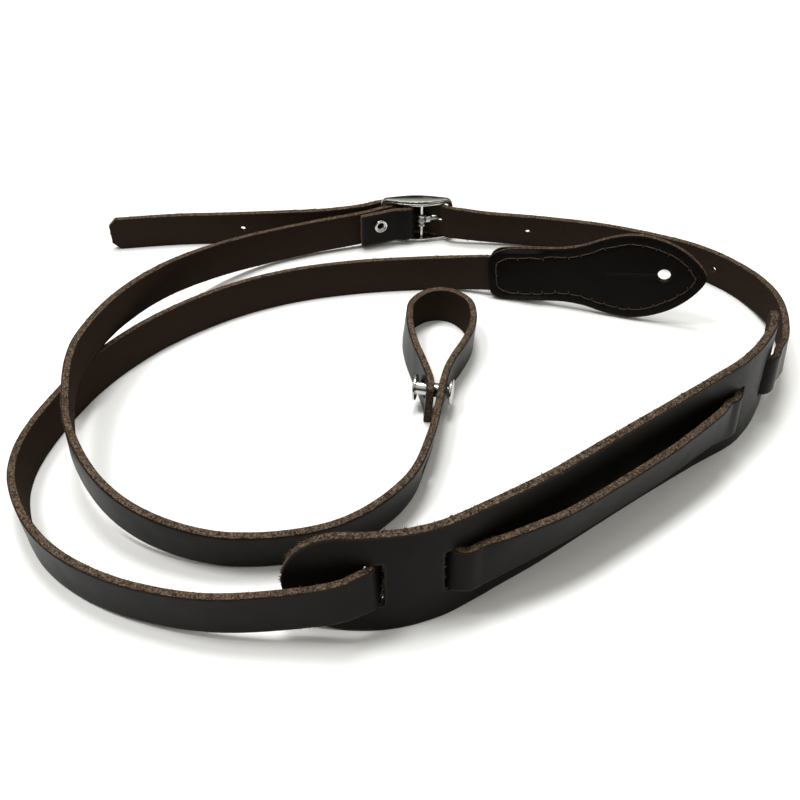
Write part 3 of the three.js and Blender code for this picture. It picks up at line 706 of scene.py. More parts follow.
# %% Chrome
def make_plating_group():
    group, given, result = new_group(
        "Handled Plating", {"Bright": "Color", "Dull": "Color", "Dulling": "Float"},
        {"Color": "Color", "Roughness": "Float", "Height": "Float"},
    )
    place = place_on_object(group)
    streaks = []
    for turn in (20, 75, 140):
        laid = {"Vector": place, "Scale": (300, 9000, 2500),
                "Rotation": (radians(turn), radians(turn / 2), radians(turn))}
        turned = add_node(group, "ShaderNodeMapping", laid)["Vector"]
        streaks.append(step_between(grain_noise(turned, 1.0, 2.0), 0.6, 0.75))
    scratches = reduce(partial(calc, "MAXIMUM"), streaks)
    patches = step_between(grain_noise(place, 220.0, 4.0), 0.4, 0.7)
    dull = times(patches, given["Dulling"])
    plug(result, {
        "Color": blend_colours(dull, given["Bright"], given["Dull"]),
        "Roughness": plus(times(dull, 0.35), times(scratches, 0.08), 0.15),
        "Height": times(scratches, -1.0),
    })
    return group


plating = make_plating_group()


def chrome(name, dulling):
    material, tree, shader = new_material(name, {"Metallic": 1.0})
    values = {"Bright": srgb(198, 197, 192), "Dull": srgb(128, 126, 119), "Dulling": dulling}
    made = add_node(tree, "ShaderNodeGroup", values, node_tree=plating)
    plug(shader, {
        "Base Color": made["Color"], "Roughness": made["Roughness"],
        "Normal": relief(made["Height"], SCRATCH_RELIEF),
    })
    return material


buckle_chrome = chrome("buckle_chrome", 0.7)
rivet_chrome = chrome("rivet_chrome", 0.35)
print("materials:", ", ".join(material.name for material in bpy.data.materials))

# %% [markdown]
# The two straps. Both are cut 14 mm wide from the same hide. The short one has the holes of the
# rivets at both ends and a spare one for the stud. The long one has the row of holes that the prong
# can go in, and a tail with clipped corners, which two cuts with `bisect_plane` make. Points lie
# closer together where a strap turns, and evenly about each hole.

# %% Cut and bend the straps
STEP, TURN = 0.85, 7  # a row of faces every STEP millimetres, and another for every TURN degrees
strap_columns = np.linspace(-1, 1, 16)

STUD = Pin(-0.9, -13, 7.8, yaw=-12, hole=2.8)
EYELET = Pin(-21.2, 95.2, 10.5, yaw=-68.5, hole=1.95)
PRONG_ROD = (2.15, -1.5)
PRONG_YAW = 17
PRONG_Z = 9.8
prong_base = Vector((BUCKLE_AT[0] + PRONG_ROD[0], BUCKLE_AT[1] + PRONG_ROD[1], PRONG_Z))
prong_way = Vector((cos(radians(PRONG_YAW)), sin(radians(PRONG_YAW)), 0))
prong_middle = prong_base + 7.5 * prong_way
PRONG = Pin(prong_middle.x, prong_middle.y, PRONG_Z, yaw=PRONG_YAW, hole=1.45)

BUCKLE_HOLE, SPARE_HOLE = 1.15, 2.5
spare_stud_hole = (-4.7, -48.4, 7)
buckle_holes = ((-78.9, 96.6, 7), (-38, 99, 8), (42, 94, 7.5), (80, 85, 7), (115, 65.4, 7))
TAIL_CLIP = 3


def line_up(stations, holes):
    """Spreads the stations evenly about each hole."""
    for hole in holes:
        reach = hole.radius * hole.stretch + STEP
        count = 2 * round(reach / STEP)
        stations = stations[np.abs(stations - hole.s) > reach + 0.4 * STEP]
        stations = np.append(stations, hole.s + np.linspace(-reach, reach, count + 1))
    return np.sort(stations)


def add_strap(name, route, holes, clip=0):
    bm = blank(line_up(route.stations(STEP, TURN), holes), strap_columns, STRAP_WIDTH / 2)
    for hole in holes:
        reach = (hole.radius * hole.stretch + STEP, hole.radius + PUNCH_MARGIN)
        punch(bm, hole.s, hole.v, reach, round_hole(hole.radius, hole.stretch))
    for side in (-1, 1) if clip else ():
        corner = (route.length - clip, side * STRAP_WIDTH / 2, 0)
        bmesh.ops.bisect_plane(
            bm, geom=everything(bm), plane_co=corner, plane_no=(1, side, 0), clear_outer=True)
    finish_sheet(bm, route, STRAP_THICK)
    return add_piece(bm, name + "_leather", strap_leather, name)


short_holes = holes_for_pin(short_route, STUD, 7) + holes_for_pin(short_route, EYELET, 5)
short_holes += [hole_at(short_route, *spare_stud_hole, SPARE_HOLE)]
long_holes = holes_for_pin(long_route, PRONG, 4.5)
long_holes += [hole_at(long_route, *place, BUCKLE_HOLE) for place in buckle_holes]
print(len(short_holes), "holes in the short strap,", len(long_holes), "in the long one")

short_strap = add_strap("short_strap", short_route, short_holes)
long_strap = add_strap("long_strap", long_route, long_holes, TAIL_CLIP)

# %% [markdown]
# The shoulder pad is one wide strip with round ends and four slots that the long strap weaves
# through. The ends are made by the same formula as a round hole: the square end of the grid is
# pushed into a half circle, so no point is crowded.

# %% Cut and bend the pad
SLOT_WIDTH, SLOT_HEIGHT, SLOT_CORNER = 5.3, 14.7, 1


def round_end(bm, tip, inward, radius):
    for vert in bm.verts:
        x = (vert.co.x - tip) * inward / radius - 1
        if x < 0:
            u, v = disc_from_square(x, vert.co.y / radius)
            vert.co = (tip + inward * radius * (1 + u), radius * v, 0)


slots = [Hole(s, 0, SLOT_WIDTH / 2, 1) for s in PAD_SLOTS]
bm = blank(line_up(pad_route.stations(STEP, TURN), slots), np.linspace(-1, 1, 39), PAD_HEIGHT / 2)
round_end(bm, 0, 1, PAD_HEIGHT / 2)
round_end(bm, pad_route.length, -1, PAD_HEIGHT / 2)
for slot in slots:
    reach = (slot.radius + STEP, SLOT_HEIGHT / 2 + PUNCH_MARGIN)
    punch(bm, slot.s, 0, reach, slot_hole(SLOT_WIDTH, SLOT_HEIGHT, SLOT_CORNER))
finish_sheet(bm, pad_route, PAD_THICK, fray=0.22)
shoulder_pad = add_piece(bm, "shoulder_pad_leather", pad_leather, "shoulder_pad")

# %% [markdown]
# The end tab is two thinner leaves, sewn together round the end of the long strap. Each leaf is cut
# to an outline that is wide round the peg hole and narrow at the strap. `leaf_place` is its bend:
# the leaves stand apart where the strap is between them and close past its end and beside it. The
# same function places the stitches afterwards, so they lie on the leather wherever it swells.

# %% The leaves of the end tab
TAB_HOLE_AT, TAB_HOLE_HIGH, TAB_HOLE_RADIUS = 66.0, 1.0, 2.4
TAB_TIP_FROM = 70.0
SLIT_FROM, SLIT_SHARE = 45.5, 0.004
SLIT_HALF = 0.05  # faces whose middle is nearer to the slit's line than this are cut out
LEAF_GAP = 0.15  # from each leaf to whatever it lies on
LEAF_STEP, LEAF_ROWS, TIP_ROWS = 0.62, 27, 22
SEAM_INSET, STITCH_LENGTH = 3.3, 4.7
tab_outline = [
    (0, 4.6), (1.3, 7.8), (5, 9.8), (11, 10.5), (20, 10.6), (29, 10.7), (37, 12.1), (44, 14.4),
    (50, 15.8), (55, 16.2), (60.5, 15.5), (66, 13.8), (70.5, 11.6), (74, 9.2), (77.5, 6),
    (80, 2.8), (81, 0.9),
]
outline_curve = spline([(along, half, 0) for along, half in tab_outline])[:, :2]
TAB_LENGTH = outline_curve[-1, 0]


def half_at(along):
    return np.interp(along, outline_curve[:, 0], outline_curve[:, 1])


def smoothstep(value, low, high):
    share = np.clip((value - low) / (high - low), 0, 1)
    return share * share * (3 - 2 * share)


def leaf_place(side, along, height, out):
    """From the flat leaf to the model; out is measured from the leaf's grain side."""
    past_strap = 1 - smoothstep(along, TAB_STRAP_INSIDE + 2, TAB_STRAP_INSIDE + 10)
    beside = smoothstep(np.abs(height), STRAP_WIDTH / 2 + 1.2, STRAP_WIDTH / 2 + 3.8)
    apart = past_strap * (1 - beside * smoothstep(along, 2, 9))
    level = LEAF_GAP + (STRAP_THICK / 2 + LEAF_GAP) * apart + TAB_THICK + out
    local = np.column_stack([along, side * level, height, np.ones(len(along))])
    return (local @ np.array(tab_matrix).T)[:, :3] - MIDDLE


def cut_leaf():
    spread = distances_along(outline_curve)
    even = np.interp(np.arange(0, spread[-1], LEAF_STEP), spread, outline_curve[:, 0])
    straight = np.concatenate([even[even < TAB_TIP_FROM - 0.3], [TAB_TIP_FROM]])
    tip = np.linspace(TAB_TIP_FROM, TAB_LENGTH, TIP_ROWS + 1)[1:]
    half = np.linspace(SLIT_SHARE, 1, LEAF_ROWS)
    bm = blank(np.concatenate([straight, tip]), np.concatenate([-half[::-1], half]), 1)
    for vert in bm.verts:
        x = (vert.co.x - TAB_TIP_FROM) / (TAB_LENGTH - TAB_TIP_FROM)
        if x > 0:
            u, v = disc_from_square(x, vert.co.y)
            vert.co.x = TAB_TIP_FROM + u * (TAB_LENGTH - TAB_TIP_FROM)
            vert.co.y = v / max((1 - u * u) ** 0.5, 1e-6)
        vert.co.y = vert.co.y * half_at(vert.co.x) + TAB_HOLE_HIGH * (1 - vert.co.y**2)
    reach = TAB_HOLE_RADIUS + 0.9
    punch(bm, TAB_HOLE_AT, TAB_HOLE_HIGH, (reach, reach), round_hole(TAB_HOLE_RADIUS))
    middles = {face: face.calc_center_median() for face in bm.faces}
    slit = [
        face for face, at in middles.items()
        if abs(at.y - TAB_HOLE_HIGH) < SLIT_HALF and SLIT_FROM < at.x < TAB_HOLE_AT
    ]
    bmesh.ops.delete(bm, geom=slit, context="FACES")
    thicken(bm, TAB_THICK, rounding=0.22, wall_rows=2)
    note_place(bm, TAB_THICK)
    return bm


# %% [markdown]
# The seam runs a little inside the edge. It is the outline moved inwards, with the places dropped
# that come too near the edge at a corner, and it is shared out into stitches of about 4.7 mm. The
# thread pulls the leather down, deepest at the holes of the awl.

# %% The line of the seam
def to_the_right(way):
    return np.column_stack([way[:, 1], -way[:, 0]])


def inset_path(inset):
    upper = np.vstack([[0, 0], outline_curve, [TAB_LENGTH, 0]])
    loop = np.vstack([upper, (upper * (1, -1))[::-1]])
    steps = np.linalg.norm(np.diff(loop, axis=0), axis=1)
    loop = loop[np.append(True, steps > 1e-6)]
    way = np.roll(loop, -1, axis=0) - np.roll(loop, 1, axis=0)
    way /= np.linalg.norm(way, axis=1)[:, None]
    inner = loop + to_the_right(way) * inset
    clear = np.array([np.min(np.linalg.norm(loop - point, axis=1)) for point in inner])
    return inner[clear > 0.985 * inset]


def share_out(path, spacing):
    closed = np.vstack([path, path[:1]])
    run = distances_along(closed)
    count = round(run[-1] / spacing)
    at = np.linspace(0, run[-1], count, endpoint=False)
    return np.column_stack([np.interp(at, run, closed[:, 0]), np.interp(at, run, closed[:, 1])])


seam = inset_path(SEAM_INSET)
awl_holes = share_out(seam, STITCH_LENGTH)
print(len(awl_holes), "stitches round the tab")

# %% [markdown]
# Now the leaves can be finished: the seam is pressed in while the leaf is flat, then it is bent.

# %% Press the seam in and bend the leaves
PRESS_WIDTH, SEAM_DEPTH, AWL_DEPTH = 0.7, 0.1, 0.22


def press_seam(bm):
    thread, awl = nearest_finder(seam), nearest_finder(awl_holes)
    for vert in bm.verts:
        if vert.co.z > -0.3 * TAB_THICK:
            from_seam, from_hole = (
                tree.find((vert.co.x, vert.co.y, 0))[2] / PRESS_WIDTH for tree in (thread, awl))
            vert.co.z -= SEAM_DEPTH * np.exp(-from_seam**2) + AWL_DEPTH * np.exp(-from_hole**2)


for side, name in ((-1, "end_tab_front"), (1, "end_tab_back")):
    bm = cut_leaf()
    press_seam(bm)
    roughen(bm, TAB_THICK, fray=0.06, swell=0.12)
    move_points(bm, leaf_place(side, *points_of(bm).T))
    add_piece(bm, name + "_leather", tab_leather, name)

# %% [markdown]
# A stitch is a short piece of thread that comes out of one hole, lies on the leather and goes down
# the next. One stitch is modelled, a thin six-sided rod that is cut across a few times and arched.
# Then numpy copies it along the seam for both leaves, into one mesh a leaf. Hand tension is never
# even, so each stitch is a little askew.

# %% Sew the tab
THREAD_RADIUS = 0.18
ASKEW, ASKEW_AGAIN, SAG = 0.16, 0.12, 0.1  # spread of the starts, the ends and the bends of stitches


def unit(vectors):
    return vectors / np.linalg.norm(vectors, axis=-1, keepdims=True)


def pattern(bm):
    """The points and the triangles of a small mesh, for numpy to copy."""
    bmesh.ops.triangulate(bm, faces=bm.faces[:])
    bm.verts.index_update()
    faces = np.array([[vert.index for vert in face.verts] for face in bm.faces])
    points = points_of(bm)
    bm.free()
    return points, faces


def cut_rod(sides, radii, axis, cuts, turn):
    """A rod along an axis from 0 to 1, cut across in some places."""
    bm = bmesh.new()
    bmesh.ops.create_cone(
        bm, cap_ends=True, segments=sides, radius1=radii[0], radius2=radii[1], depth=1,
        matrix=Matrix.Translation(Vector(axis) / 2) @ turn)
    for cut in cuts:
        bmesh.ops.bisect_plane(bm, geom=everything(bm), plane_co=Vector(axis) * cut, plane_no=axis)
    return pattern(bm)


def stitch_pattern():
    """One stitch along x from 0 to 1; y and z are in millimetres, z above the leather."""
    cuts, lie_along_x = (0.06, 0.15, 0.3, 0.5, 0.7, 0.85, 0.94), Matrix.Rotation(pi / 2, 4, "Y")
    points, faces = cut_rod(6, (THREAD_RADIUS, THREAD_RADIUS), (1, 0, 0), cuts, lie_along_x)
    points[:, 2] += 0.16 - 0.85 * np.abs(2 * points[:, 0] - 1) ** 5
    return points, faces


def joined_mesh(name, places, faces, notes):
    """One mesh from many copies: places is copies by points by 3, and notes are point attributes."""
    copies, points = places.shape[:2]
    every_face = (faces[None] + points * np.arange(copies)[:, None, None]).reshape(-1, 3)
    mesh = bpy.data.meshes.new(name)
    mesh.from_pydata((places.reshape(-1, 3) * MM).tolist(), [], every_face.tolist())
    for title, (kind, field, values) in notes.items():
        attribute = mesh.attributes.new(title, kind, "POINT")
        attribute.data.foreach_set(field, np.asarray(values, np.float32).ravel())
    return mesh


def sew(side, name, seed):
    rng = np.random.default_rng(seed)
    points, faces = stitch_pattern()
    starts, ends = awl_holes, np.roll(awl_holes, -1, axis=0)
    askew = rng.normal(0, ASKEW, starts.shape)
    wander = rng.normal(0, ASKEW_AGAIN, ends.shape)
    starts, ends = starts + askew, ends + np.roll(askew, -1, axis=0) + wander
    along = unit(ends - starts)
    ticks = starts + to_the_right(along) + 0.3 * along
    ticks = starts + (ticks - starts) * rng.uniform(0.5, 1.3, (len(starts), 1))
    starts, ends = np.vstack([starts, starts]), np.vstack([ends, ticks])
    way = ends - starts
    length = np.linalg.norm(way, axis=1)[:, None]
    aside = -to_the_right(way) / length
    sag = rng.normal(0, SAG, length.shape)
    share, across, height = points.T
    wide = across[None] + sag * np.sin(pi * share)[None]
    x = starts[:, :1] + way[:, :1] * share + aside[:, :1] * wide
    y = starts[:, 1:] + way[:, 1:] * share + aside[:, 1:] * wide
    z = np.repeat(height[None], len(starts), 0)
    placed = leaf_place(side, x.ravel(), y.ravel(), z.ravel()).reshape(*x.shape, 3)
    flat = np.dstack([share * length, np.repeat(across[None] * 3, len(starts), 0), z * 3])
    if side < 0:
        faces = faces[:, ::-1]
    mesh = joined_mesh(name, placed, faces, {"flat": ("FLOAT_VECTOR", "vector", flat)})
    return add_object(mesh, name, tab_thread)


sew(-1, "tab_stitches_front", 5)
sew(1, "tab_stitches_back", 6)

# %% [markdown]
# Raw leather is fuzzy along the cut. Fibre ends stand up from it, thin as hair, most of them short
# and some in tufts. Thousands of them are one spike copied by numpy: places are drawn on the walls
# of the finished piece, by area, and each spike grows out of the wall with a random slant and a bend
# near its tip. Every run should grow the same fuzz, so the random draws are seeded. Blender may list
# the triangles of a mesh in another order on the next run, so they are sorted by place first.

# %% Grow fibre ends on the cut edges
SLANT, ROOT, OFF_TABLE = 0.55, 0.08, 0.02  # ROOT is how deep a fibre starts in the leather


def spike_pattern():
    """A three-sided spike along z from 0 to 1, with one joint."""
    return cut_rod(3, (1, 0), (0, 0, 1), (0.45,), Matrix.Identity(4))


def read(values, field, kind):
    """The three numbers that each point or triangle of a mesh has under a name."""
    numbers = np.empty(3 * len(values), kind)
    values.foreach_get(field, numbers)
    return numbers.reshape(-1, 3)


def in_order(triangles, flat):
    """Triangles sorted by their place on the flat leather, each from its lowest corner on."""
    rank = flat @ np.array([1, 0.618, 0.377])
    lowest = rank[triangles].argmin(axis=1)[:, None]
    triangles = np.take_along_axis(triangles, (lowest + np.arange(3)) % 3, axis=1)
    return triangles[np.argsort(rank[triangles].sum(axis=1))]


def wall_places(piece, thick, count, rng):
    """Random places and outward normals on the cut walls of a piece, in millimetres."""
    mesh = piece.data
    mesh.calc_loop_triangles()
    points = read(mesh.vertices, "co", np.float32) / MM
    flat = read(mesh.attributes["flat"].data, "vector", np.float32)
    triangles = read(mesh.loop_triangles, "vertices", np.int32)
    depth = flat[triangles, 2].mean(axis=1)
    triangles = in_order(triangles[(depth < -0.12 * thick) & (depth > -0.9 * thick)], flat)
    a, b, c = (points[triangles[:, i]] for i in range(3))
    normal = np.cross(b - a, c - a)
    area = np.linalg.norm(normal, axis=1)
    tufts = 0.12 + np.array([noise.noise(Vector(p) * 0.7) > 0.25 for p in a])
    chance = area * tufts
    pick = rng.choice(len(triangles), count, p=chance / chance.sum())
    u, v = rng.random((2, count, 1))
    u, v = np.where(u + v > 1, 1 - u, u), np.where(u + v > 1, 1 - v, v)
    places = a[pick] + u * (b[pick] - a[pick]) + v * (c[pick] - a[pick])
    return places, unit(normal[pick]), area.sum() / 2


def grow_fibres(piece, name, thick, count, length, seed):
    rng = np.random.default_rng(seed)
    places, normal, walls = wall_places(piece, thick, count, rng)
    points, faces = spike_pattern()
    way = unit(normal + SLANT * rng.normal(size=normal.shape))
    way = np.where(np.sum(way * normal, axis=1, keepdims=True) < 0.2, normal, way)
    side = unit(np.cross(way, unit(rng.normal(size=way.shape))))
    other = np.cross(way, side)
    long = np.minimum(length * rng.lognormal(0, 0.45, (count, 1)), 3 * length)
    radius = rng.uniform(0.06, 0.16, (count, 1))
    bend = long * rng.uniform(0.1, 0.6, (count, 1))
    x, y, z = points.T[:, None, :, None]
    spot = places[:, None] - ROOT * way[:, None]
    spikes = (
        spot + side[:, None] * (x * radius[:, None] + bend[:, None] * z**2)
        + other[:, None] * y * radius[:, None] + way[:, None] * z * long[:, None]
    )
    spikes[..., 2] = np.maximum(spikes[..., 2], OFF_TABLE)
    tone = np.repeat(rng.random((count, 1)), len(points), 1)
    mesh = joined_mesh(name, spikes, faces, {"tone": ("FLOAT", "value", tone)})
    print(f"{name}: {count} fibres on {walls:.0f} square mm of cut edge")
    return add_object(mesh, name, fibre_ends)


grow_fibres(long_strap, "long_strap_fibres", STRAP_THICK, 11000, 0.5, 11)
grow_fibres(short_strap, "short_strap_fibres", STRAP_THICK, 7000, 0.5, 12)
grow_fibres(shoulder_pad, "shoulder_pad_fibres", PAD_THICK, 6000, 0.65, 13)

# %% [markdown]
# The buckle's frame is one casting: two slim, lens-shaped rails of two tiers with a groove between
# them, and plain bars at both ends. It can be seen as one flat strip of metal, wrapped round a
# rounded rectangle and closed on itself. So it starts as a grid: its columns go round the frame and
# its rows round the section. Two thin rods cross it, one for the strap's fold and one for the prong.

# %% The frame of the buckle
BUCKLE_HALF, BUCKLE_HEIGHT, BUCKLE_CORNER = 15.25, 19.0, 3.0
RAIL_DEEP, ROD_RADIUS = 1.9, 0.75
INNER_TIER, OUTER_TIER, BAR_HALF = 3.9, 3.3, 1.0
RAIL_STEPS, BAR_STEPS = 44, 12
CRISP_EDGE = radians(33)


def round_frame_path(inset, per_corner=8):
    """Points and outward directions in x and z round the frame, evenly spread on each side."""
    half_x, half_z = BUCKLE_HALF - inset, BUCKLE_HEIGHT / 2 - inset
    corner = BUCKLE_CORNER - inset
    corners = [(half_x - corner, half_z - corner), (corner - half_x, half_z - corner),
               (corner - half_x, corner - half_z), (half_x - corner, corner - half_z)]
    points, outward = [], []
    for quarter, (x, z) in enumerate(corners):
        for angle in np.radians(90 * quarter + np.linspace(0, 90, per_corner + 1)):
            points.append((x + corner * cos(angle), z + corner * sin(angle)))
            outward.append((cos(angle), sin(angle)))
        last, first = points[-1], corners[(quarter + 1) % 4]
        angle = radians(90 * quarter + 90)
        target = (first[0] + corner * cos(angle), first[1] + corner * sin(angle))
        steps = BAR_STEPS if quarter % 2 else RAIL_STEPS
        for share in np.arange(1, steps) / steps:
            points.append(tuple(np.array(last) + share * (np.array(target) - last)))
            outward.append((cos(angle), sin(angle)))
    return np.array(points + points[:1]), np.array(outward + outward[:1])


def rail_section(bulge):
    """Half depth and height above the inner face, from the inner face round to the outer one."""
    inner = BAR_HALF - 0.1 + (INNER_TIER - BAR_HALF + 0.1) * bulge
    outer = BAR_HALF + (OUTER_TIER - BAR_HALF) * bulge
    groove = 0.5 * bulge
    return [
        (0, 0), (inner - 0.3, 0), (inner - 0.08, 0.09), (inner, 0.3), (inner, 0.72),
        (inner - 0.08, 0.86), (inner - 0.25, 0.93), (outer - groove, 1.0), (outer - groove, 1.12),
        (outer - 0.1 * bulge, 1.25), (outer, 1.4), (outer - 0.02, 1.66), (outer - 0.12, 1.82),
        (outer - 0.3, RAIL_DEEP), (0, RAIL_DEEP),
    ]


def sharpen(bm):
    for edge in bm.edges:
        edge.smooth = edge.calc_face_angle(0) < CRISP_EDGE


path, outward = round_frame_path(RAIL_DEEP)
section_size = 2 * len(rail_section(0)) - 2
bm, points = grid(len(path) - 1, section_size)
for vert, i, j in points:
    j %= section_size
    x, z = path[i]
    bulge = cos(np.clip(x / (BUCKLE_HALF - BAR_HALF), -1, 1) * pi / 2) ** 1.3
    section = rail_section(bulge)
    depth, rise = section[j] if j < len(section) else section[section_size - j]
    y = depth if j < len(section) else -depth
    vert.co = (x + outward[i][0] * rise, y, BUCKLE_HEIGHT / 2 + z + outward[i][1] * rise)
bmesh.ops.remove_doubles(bm, verts=bm.verts[:], dist=1e-4)
for x, y in (STRAP_BAR, PRONG_ROD):
    bmesh.ops.create_cone(
        bm, cap_ends=True, segments=24, radius1=ROD_RADIUS, radius2=ROD_RADIUS,
        depth=BUCKLE_HEIGHT - RAIL_DEEP + 0.1, matrix=Matrix.Translation((x, y, BUCKLE_HEIGHT / 2)))
bmesh.ops.recalc_face_normals(bm, faces=bm.faces[:])
sharpen(bm)
buckle_middle = Vector((*BUCKLE_AT, 0)) - Vector(MIDDLE)
bmesh.ops.translate(bm, verts=bm.verts[:], vec=buckle_middle)
bmesh.ops.scale(bm, verts=bm.verts[:], vec=(MM, MM, MM))
add_piece(bm, "buckle_frame_cast", buckle_chrome, "buckle_frame")

# %% [markdown]
# Turned metal comes from a lathe: half a section, spun once round its axis. `turn_on_lathe` spins a
# profile of (radius, height) pairs and welds the seam and the poles. Sleeve, point, eyelet, post and
# screw are all made with it, then laid over and moved to their place.

# %% The lathe and the prong
def turn_on_lathe(bm, profile, steps=40):
    verts = [bm.verts.new((radius, 0, height)) for radius, height in profile]
    closed = profile[0][0] > 0
    following = verts[1:] + verts[:1] if closed else verts[1:]
    edges = [bm.edges.new(pair) for pair in zip(verts, following)]
    before = set(bm.verts) - set(verts)
    bmesh.ops.spin(
        bm, geom=verts + edges, cent=(0, 0, 0), axis=(0, 0, 1), dvec=(0, 0, 0), angle=2 * pi,
        steps=steps, use_merge=True, use_duplicate=False)
    made = [vert for vert in bm.verts if vert not in before]
    bmesh.ops.remove_doubles(bm, verts=made, dist=1e-4)
    return [vert for vert in bm.verts if vert not in before]


def bend_profile(centre_radius, centre_height, radius, start, end, steps=5):
    """Points of a rounded corner in a profile, from one angle to another in degrees."""
    angles = np.radians(np.linspace(start, end, steps + 1))
    return [(centre_radius + radius * cos(a), centre_height + radius * sin(a)) for a in angles]


def place_metal(bm, at, yaw, tip=0):
    """Lays the z axis of a turned piece over to x, turns it and moves it to its place."""
    turn = Matrix.Rotation(radians(yaw), 4, "Z") @ Matrix.Rotation(radians(tip), 4, "Y")
    place = Matrix.Translation(Vector(at) - Vector(MIDDLE)) @ turn
    bmesh.ops.recalc_face_normals(bm, faces=bm.faces[:])
    sharpen(bm)
    bmesh.ops.transform(bm, matrix=Matrix.Scale(MM, 4) @ place, verts=bm.verts[:])


SLEEVE_HALF, SLEEVE_RADIUS, ROD_HOLE, SLEEVE_LIP = 2.5, 1.5, 1.05, 0.35
WAIST_HIGH, WAIST_RADIUS = 1.35, 1.15
BLADE = (2.3, 0.7, 2.7)
POINT_FROM, POINT_RADIUS, POINT_TO = 1.3, 0.75, 13.4
bm = bmesh.new()
sleeve = [(ROD_HOLE, -SLEEVE_HALF)]
sleeve += bend_profile(SLEEVE_RADIUS, SLEEVE_LIP - SLEEVE_HALF, SLEEVE_LIP, -90, 0)
sleeve += [(SLEEVE_RADIUS, -WAIST_HIGH)] + bend_profile(WAIST_RADIUS, 0, 0.95, -55, 55, 10)
sleeve += [(SLEEVE_RADIUS, WAIST_HIGH)]
sleeve += bend_profile(SLEEVE_RADIUS, SLEEVE_HALF - SLEEVE_LIP, SLEEVE_LIP, 0, 90)
sleeve += [(ROD_HOLE, SLEEVE_HALF)]
turn_on_lathe(bm, sleeve)
blade = bmesh.ops.create_cube(bm, size=1)["verts"]
bmesh.ops.scale(bm, verts=blade, vec=BLADE)
bmesh.ops.translate(bm, verts=blade, vec=(2.8, 0, 0))
round_edges(bm, list({edge for vert in blade for edge in vert.link_edges}), 0.16, 3)
point = [(0, POINT_FROM), (POINT_RADIUS, POINT_FROM), (POINT_RADIUS, 8), (0.72, 11.5)]
point += bend_profile(0, 12.8, 0.62, 20, 90, 6)
point[-1] = (0, POINT_TO)
verts = turn_on_lathe(bm, point, 24)
bmesh.ops.rotate(bm, verts=verts, cent=(0, 0, 0), matrix=Matrix.Rotation(pi / 2, 3, "Y"))
place_metal(bm, prong_base, PRONG_YAW)
add_piece(bm, "buckle_prong_cast", buckle_chrome, "buckle_prong")

# %% [markdown]
# The eyelet is a thin tube whose two ends are rolled over into round lips. The stud has a post with
# a wide, slightly domed head, and its screw has the same head on a shank that stands in the bore.

# %% Eyelet and stud
EYELET_HALF, EYELET_BORE, EYELET_BARREL, LIP = 3.8, 1.35, 1.65, 0.44
LIP_MIDDLE = 2.36
rolled = bend_profile(LIP_MIDDLE, EYELET_HALF - LIP, LIP, 180, 0, 10)
rolled += [(2.7, EYELET_HALF - LIP - 0.04), (EYELET_BARREL, EYELET_HALF - LIP)]
upper = [(EYELET_BORE, 0), (EYELET_BORE + 0.05, EYELET_HALF - 1)] + rolled
bm = bmesh.new()
turn_on_lathe(bm, [(r, -h) for r, h in reversed(upper[1:])] + upper, 48)
place_metal(bm, EYELET[:3], EYELET.yaw, 90)
add_piece(bm, "fold_eyelet_turned", rivet_chrome, "fold_eyelet")

HEAD, HEAD_HIGH, GRIP_HALF = 4.4, 1.1, 5.7
BARREL, BORE, SHANK = 2.4, 1.8, 1.5


def head_profile(top):
    """From the rim's underside over a rounded rim to a low dome that ends on the axis."""
    rim = [(HEAD - 0.12, top - HEAD_HIGH), (HEAD, top - HEAD_HIGH + 0.12)]
    shoulder = bend_profile(HEAD - 0.55, top - 0.75, 0.55, 0, 68, 6)
    crown = [(r, top - 0.22 * (r / 3.6) ** 2) for r in (3.2, 2.4, 1.5, 0.7, 0)]
    return rim + shoulder + crown


head = head_profile(GRIP_HALF + HEAD_HIGH)
bore_end, shank_end = 1 - GRIP_HALF, 3 - GRIP_HALF
barrel = [
    (BARREL, -GRIP_HALF), (BARREL, GRIP_HALF - 0.5), (BARREL - 0.2, GRIP_HALF - 0.3),
    (BORE, GRIP_HALF - 0.3), (BORE, bore_end), (0, bore_end),
]
shank = [(0, shank_end), (SHANK - 0.3, shank_end), (SHANK, shank_end + 0.3), (SHANK, GRIP_HALF)]
upside_down = [(r, -h) for r, h in reversed(head)]
for node, profile in (("stud_post", upside_down + barrel), ("stud_screw", shank + head)):
    bm = bmesh.new()
    turn_on_lathe(bm, profile, 56)
    place_metal(bm, STUD[:3], STUD.yaw, 90)
    add_piece(bm, node + "_turned", rivet_chrome, node)

# %% [markdown]
# A product table: a pale sheet and two soft lights high up, one on the left and one behind. Each of
# them throws a pale shadow, and where the two meet the shadow is dark. The world gives the rest,
# brighter from above than from the sides, so that the chrome has something dark and something light
# to reflect.

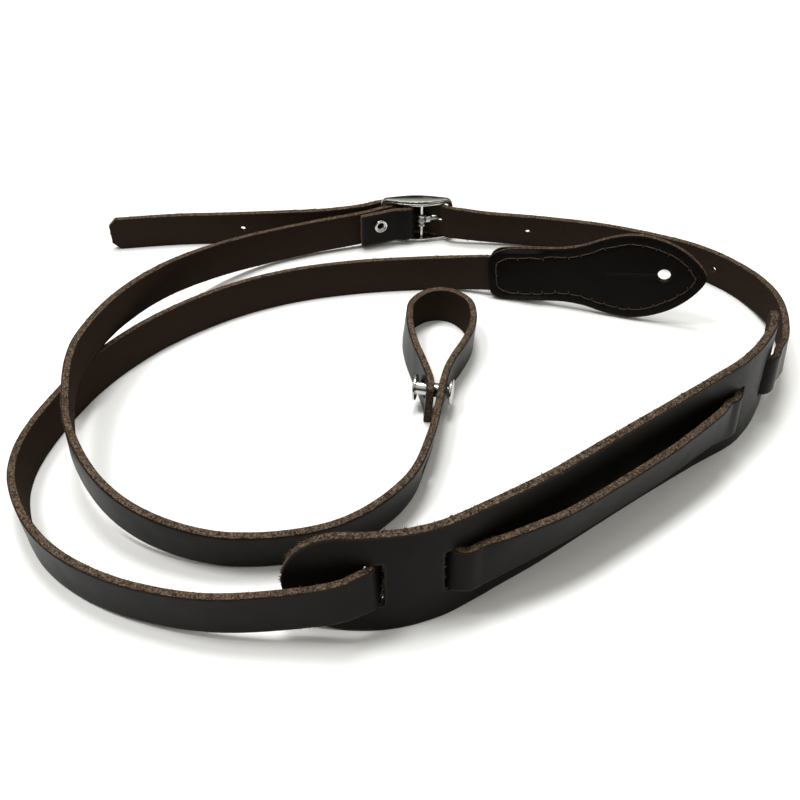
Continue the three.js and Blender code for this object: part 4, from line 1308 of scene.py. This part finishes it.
# %% Table, light and camera
bm = bmesh.new()
bmesh.ops.create_grid(bm, x_segments=1, y_segments=1, size=3)
floor = bpy.data.objects.new("table_sheet", mesh_from(bm, "table_sheet"))
bpy.context.scene.collection.objects.link(floor)
floor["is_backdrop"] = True
paper, tree, shader = new_material("paper", {"Roughness": 0.9, "Specular IOR Level": 0.1})
tint = grain_noise(place_on_object(tree), 3.0)
plug(shader, {"Base Color": blend_colours(tint, srgb(240, 240, 238), srgb(244, 244, 243))})
floor.data.materials.append(paper)


def soft_light(name, place, size, power):
    """A round light that looks at the origin."""
    light = bpy.data.lights.new(name, "AREA")
    light.shape = "DISK"
    light.size = size
    light.energy = power
    lamp = bpy.data.objects.new(name, light)
    lamp.location = place
    lamp.rotation_euler = (-Vector(place)).to_track_quat("-Z", "Y").to_euler()
    bpy.context.scene.collection.objects.link(lamp)


soft_light("left_light", (-0.46, -0.04, 1.2), size=0.3, power=7)
soft_light("back_light", (-0.05, 0.28, 1.3), size=0.36, power=10)

world = bpy.data.worlds.new("studio")
world.use_nodes = True
tree = world.node_tree
way = add_node(tree, "ShaderNodeSeparateXYZ", {0: add_node(tree, "ShaderNodeTexCoord", {})["Generated"]})
above = step_between(way["Z"], 0.3, 0.8)
beside = step_between(calc("ABSOLUTE", way["X"]), 0.5, 0.95)
glow = blend_colours(calc("MAXIMUM", above, times(beside, 0.4)), srgb(44, 44, 42), srgb(255, 254, 247))
background = next(node for node in tree.nodes if node.type == "BACKGROUND")
plug(background.inputs, {"Color": glow, "Strength": 0.8})
bpy.context.scene.world = world
bpy.context.scene.view_settings.view_transform = "Standard"

camera = bpy.data.objects.new("camera", bpy.data.cameras.new("camera"))
camera.data.lens = 40.5
camera.data.sensor_width = 36
camera.location = (-0.00885, -0.24422, 0.198)
camera.rotation_euler = (radians(50), 0, 0)
bpy.context.scene.collection.objects.link(camera)
bpy.context.scene.camera = camera

# %% [markdown]
# Last, the sizes of the frame and of the finished model are measured and printed.

# %% Measure and finish
made_box = [list(corner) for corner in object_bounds()]
for title, (low, high) in (("frame", cad_box), ("model", made_box)):
    print(title, "measures", " x ".join(f"{1000 * (b - a):.1f}" for a, b in zip(low, high)), "mm")
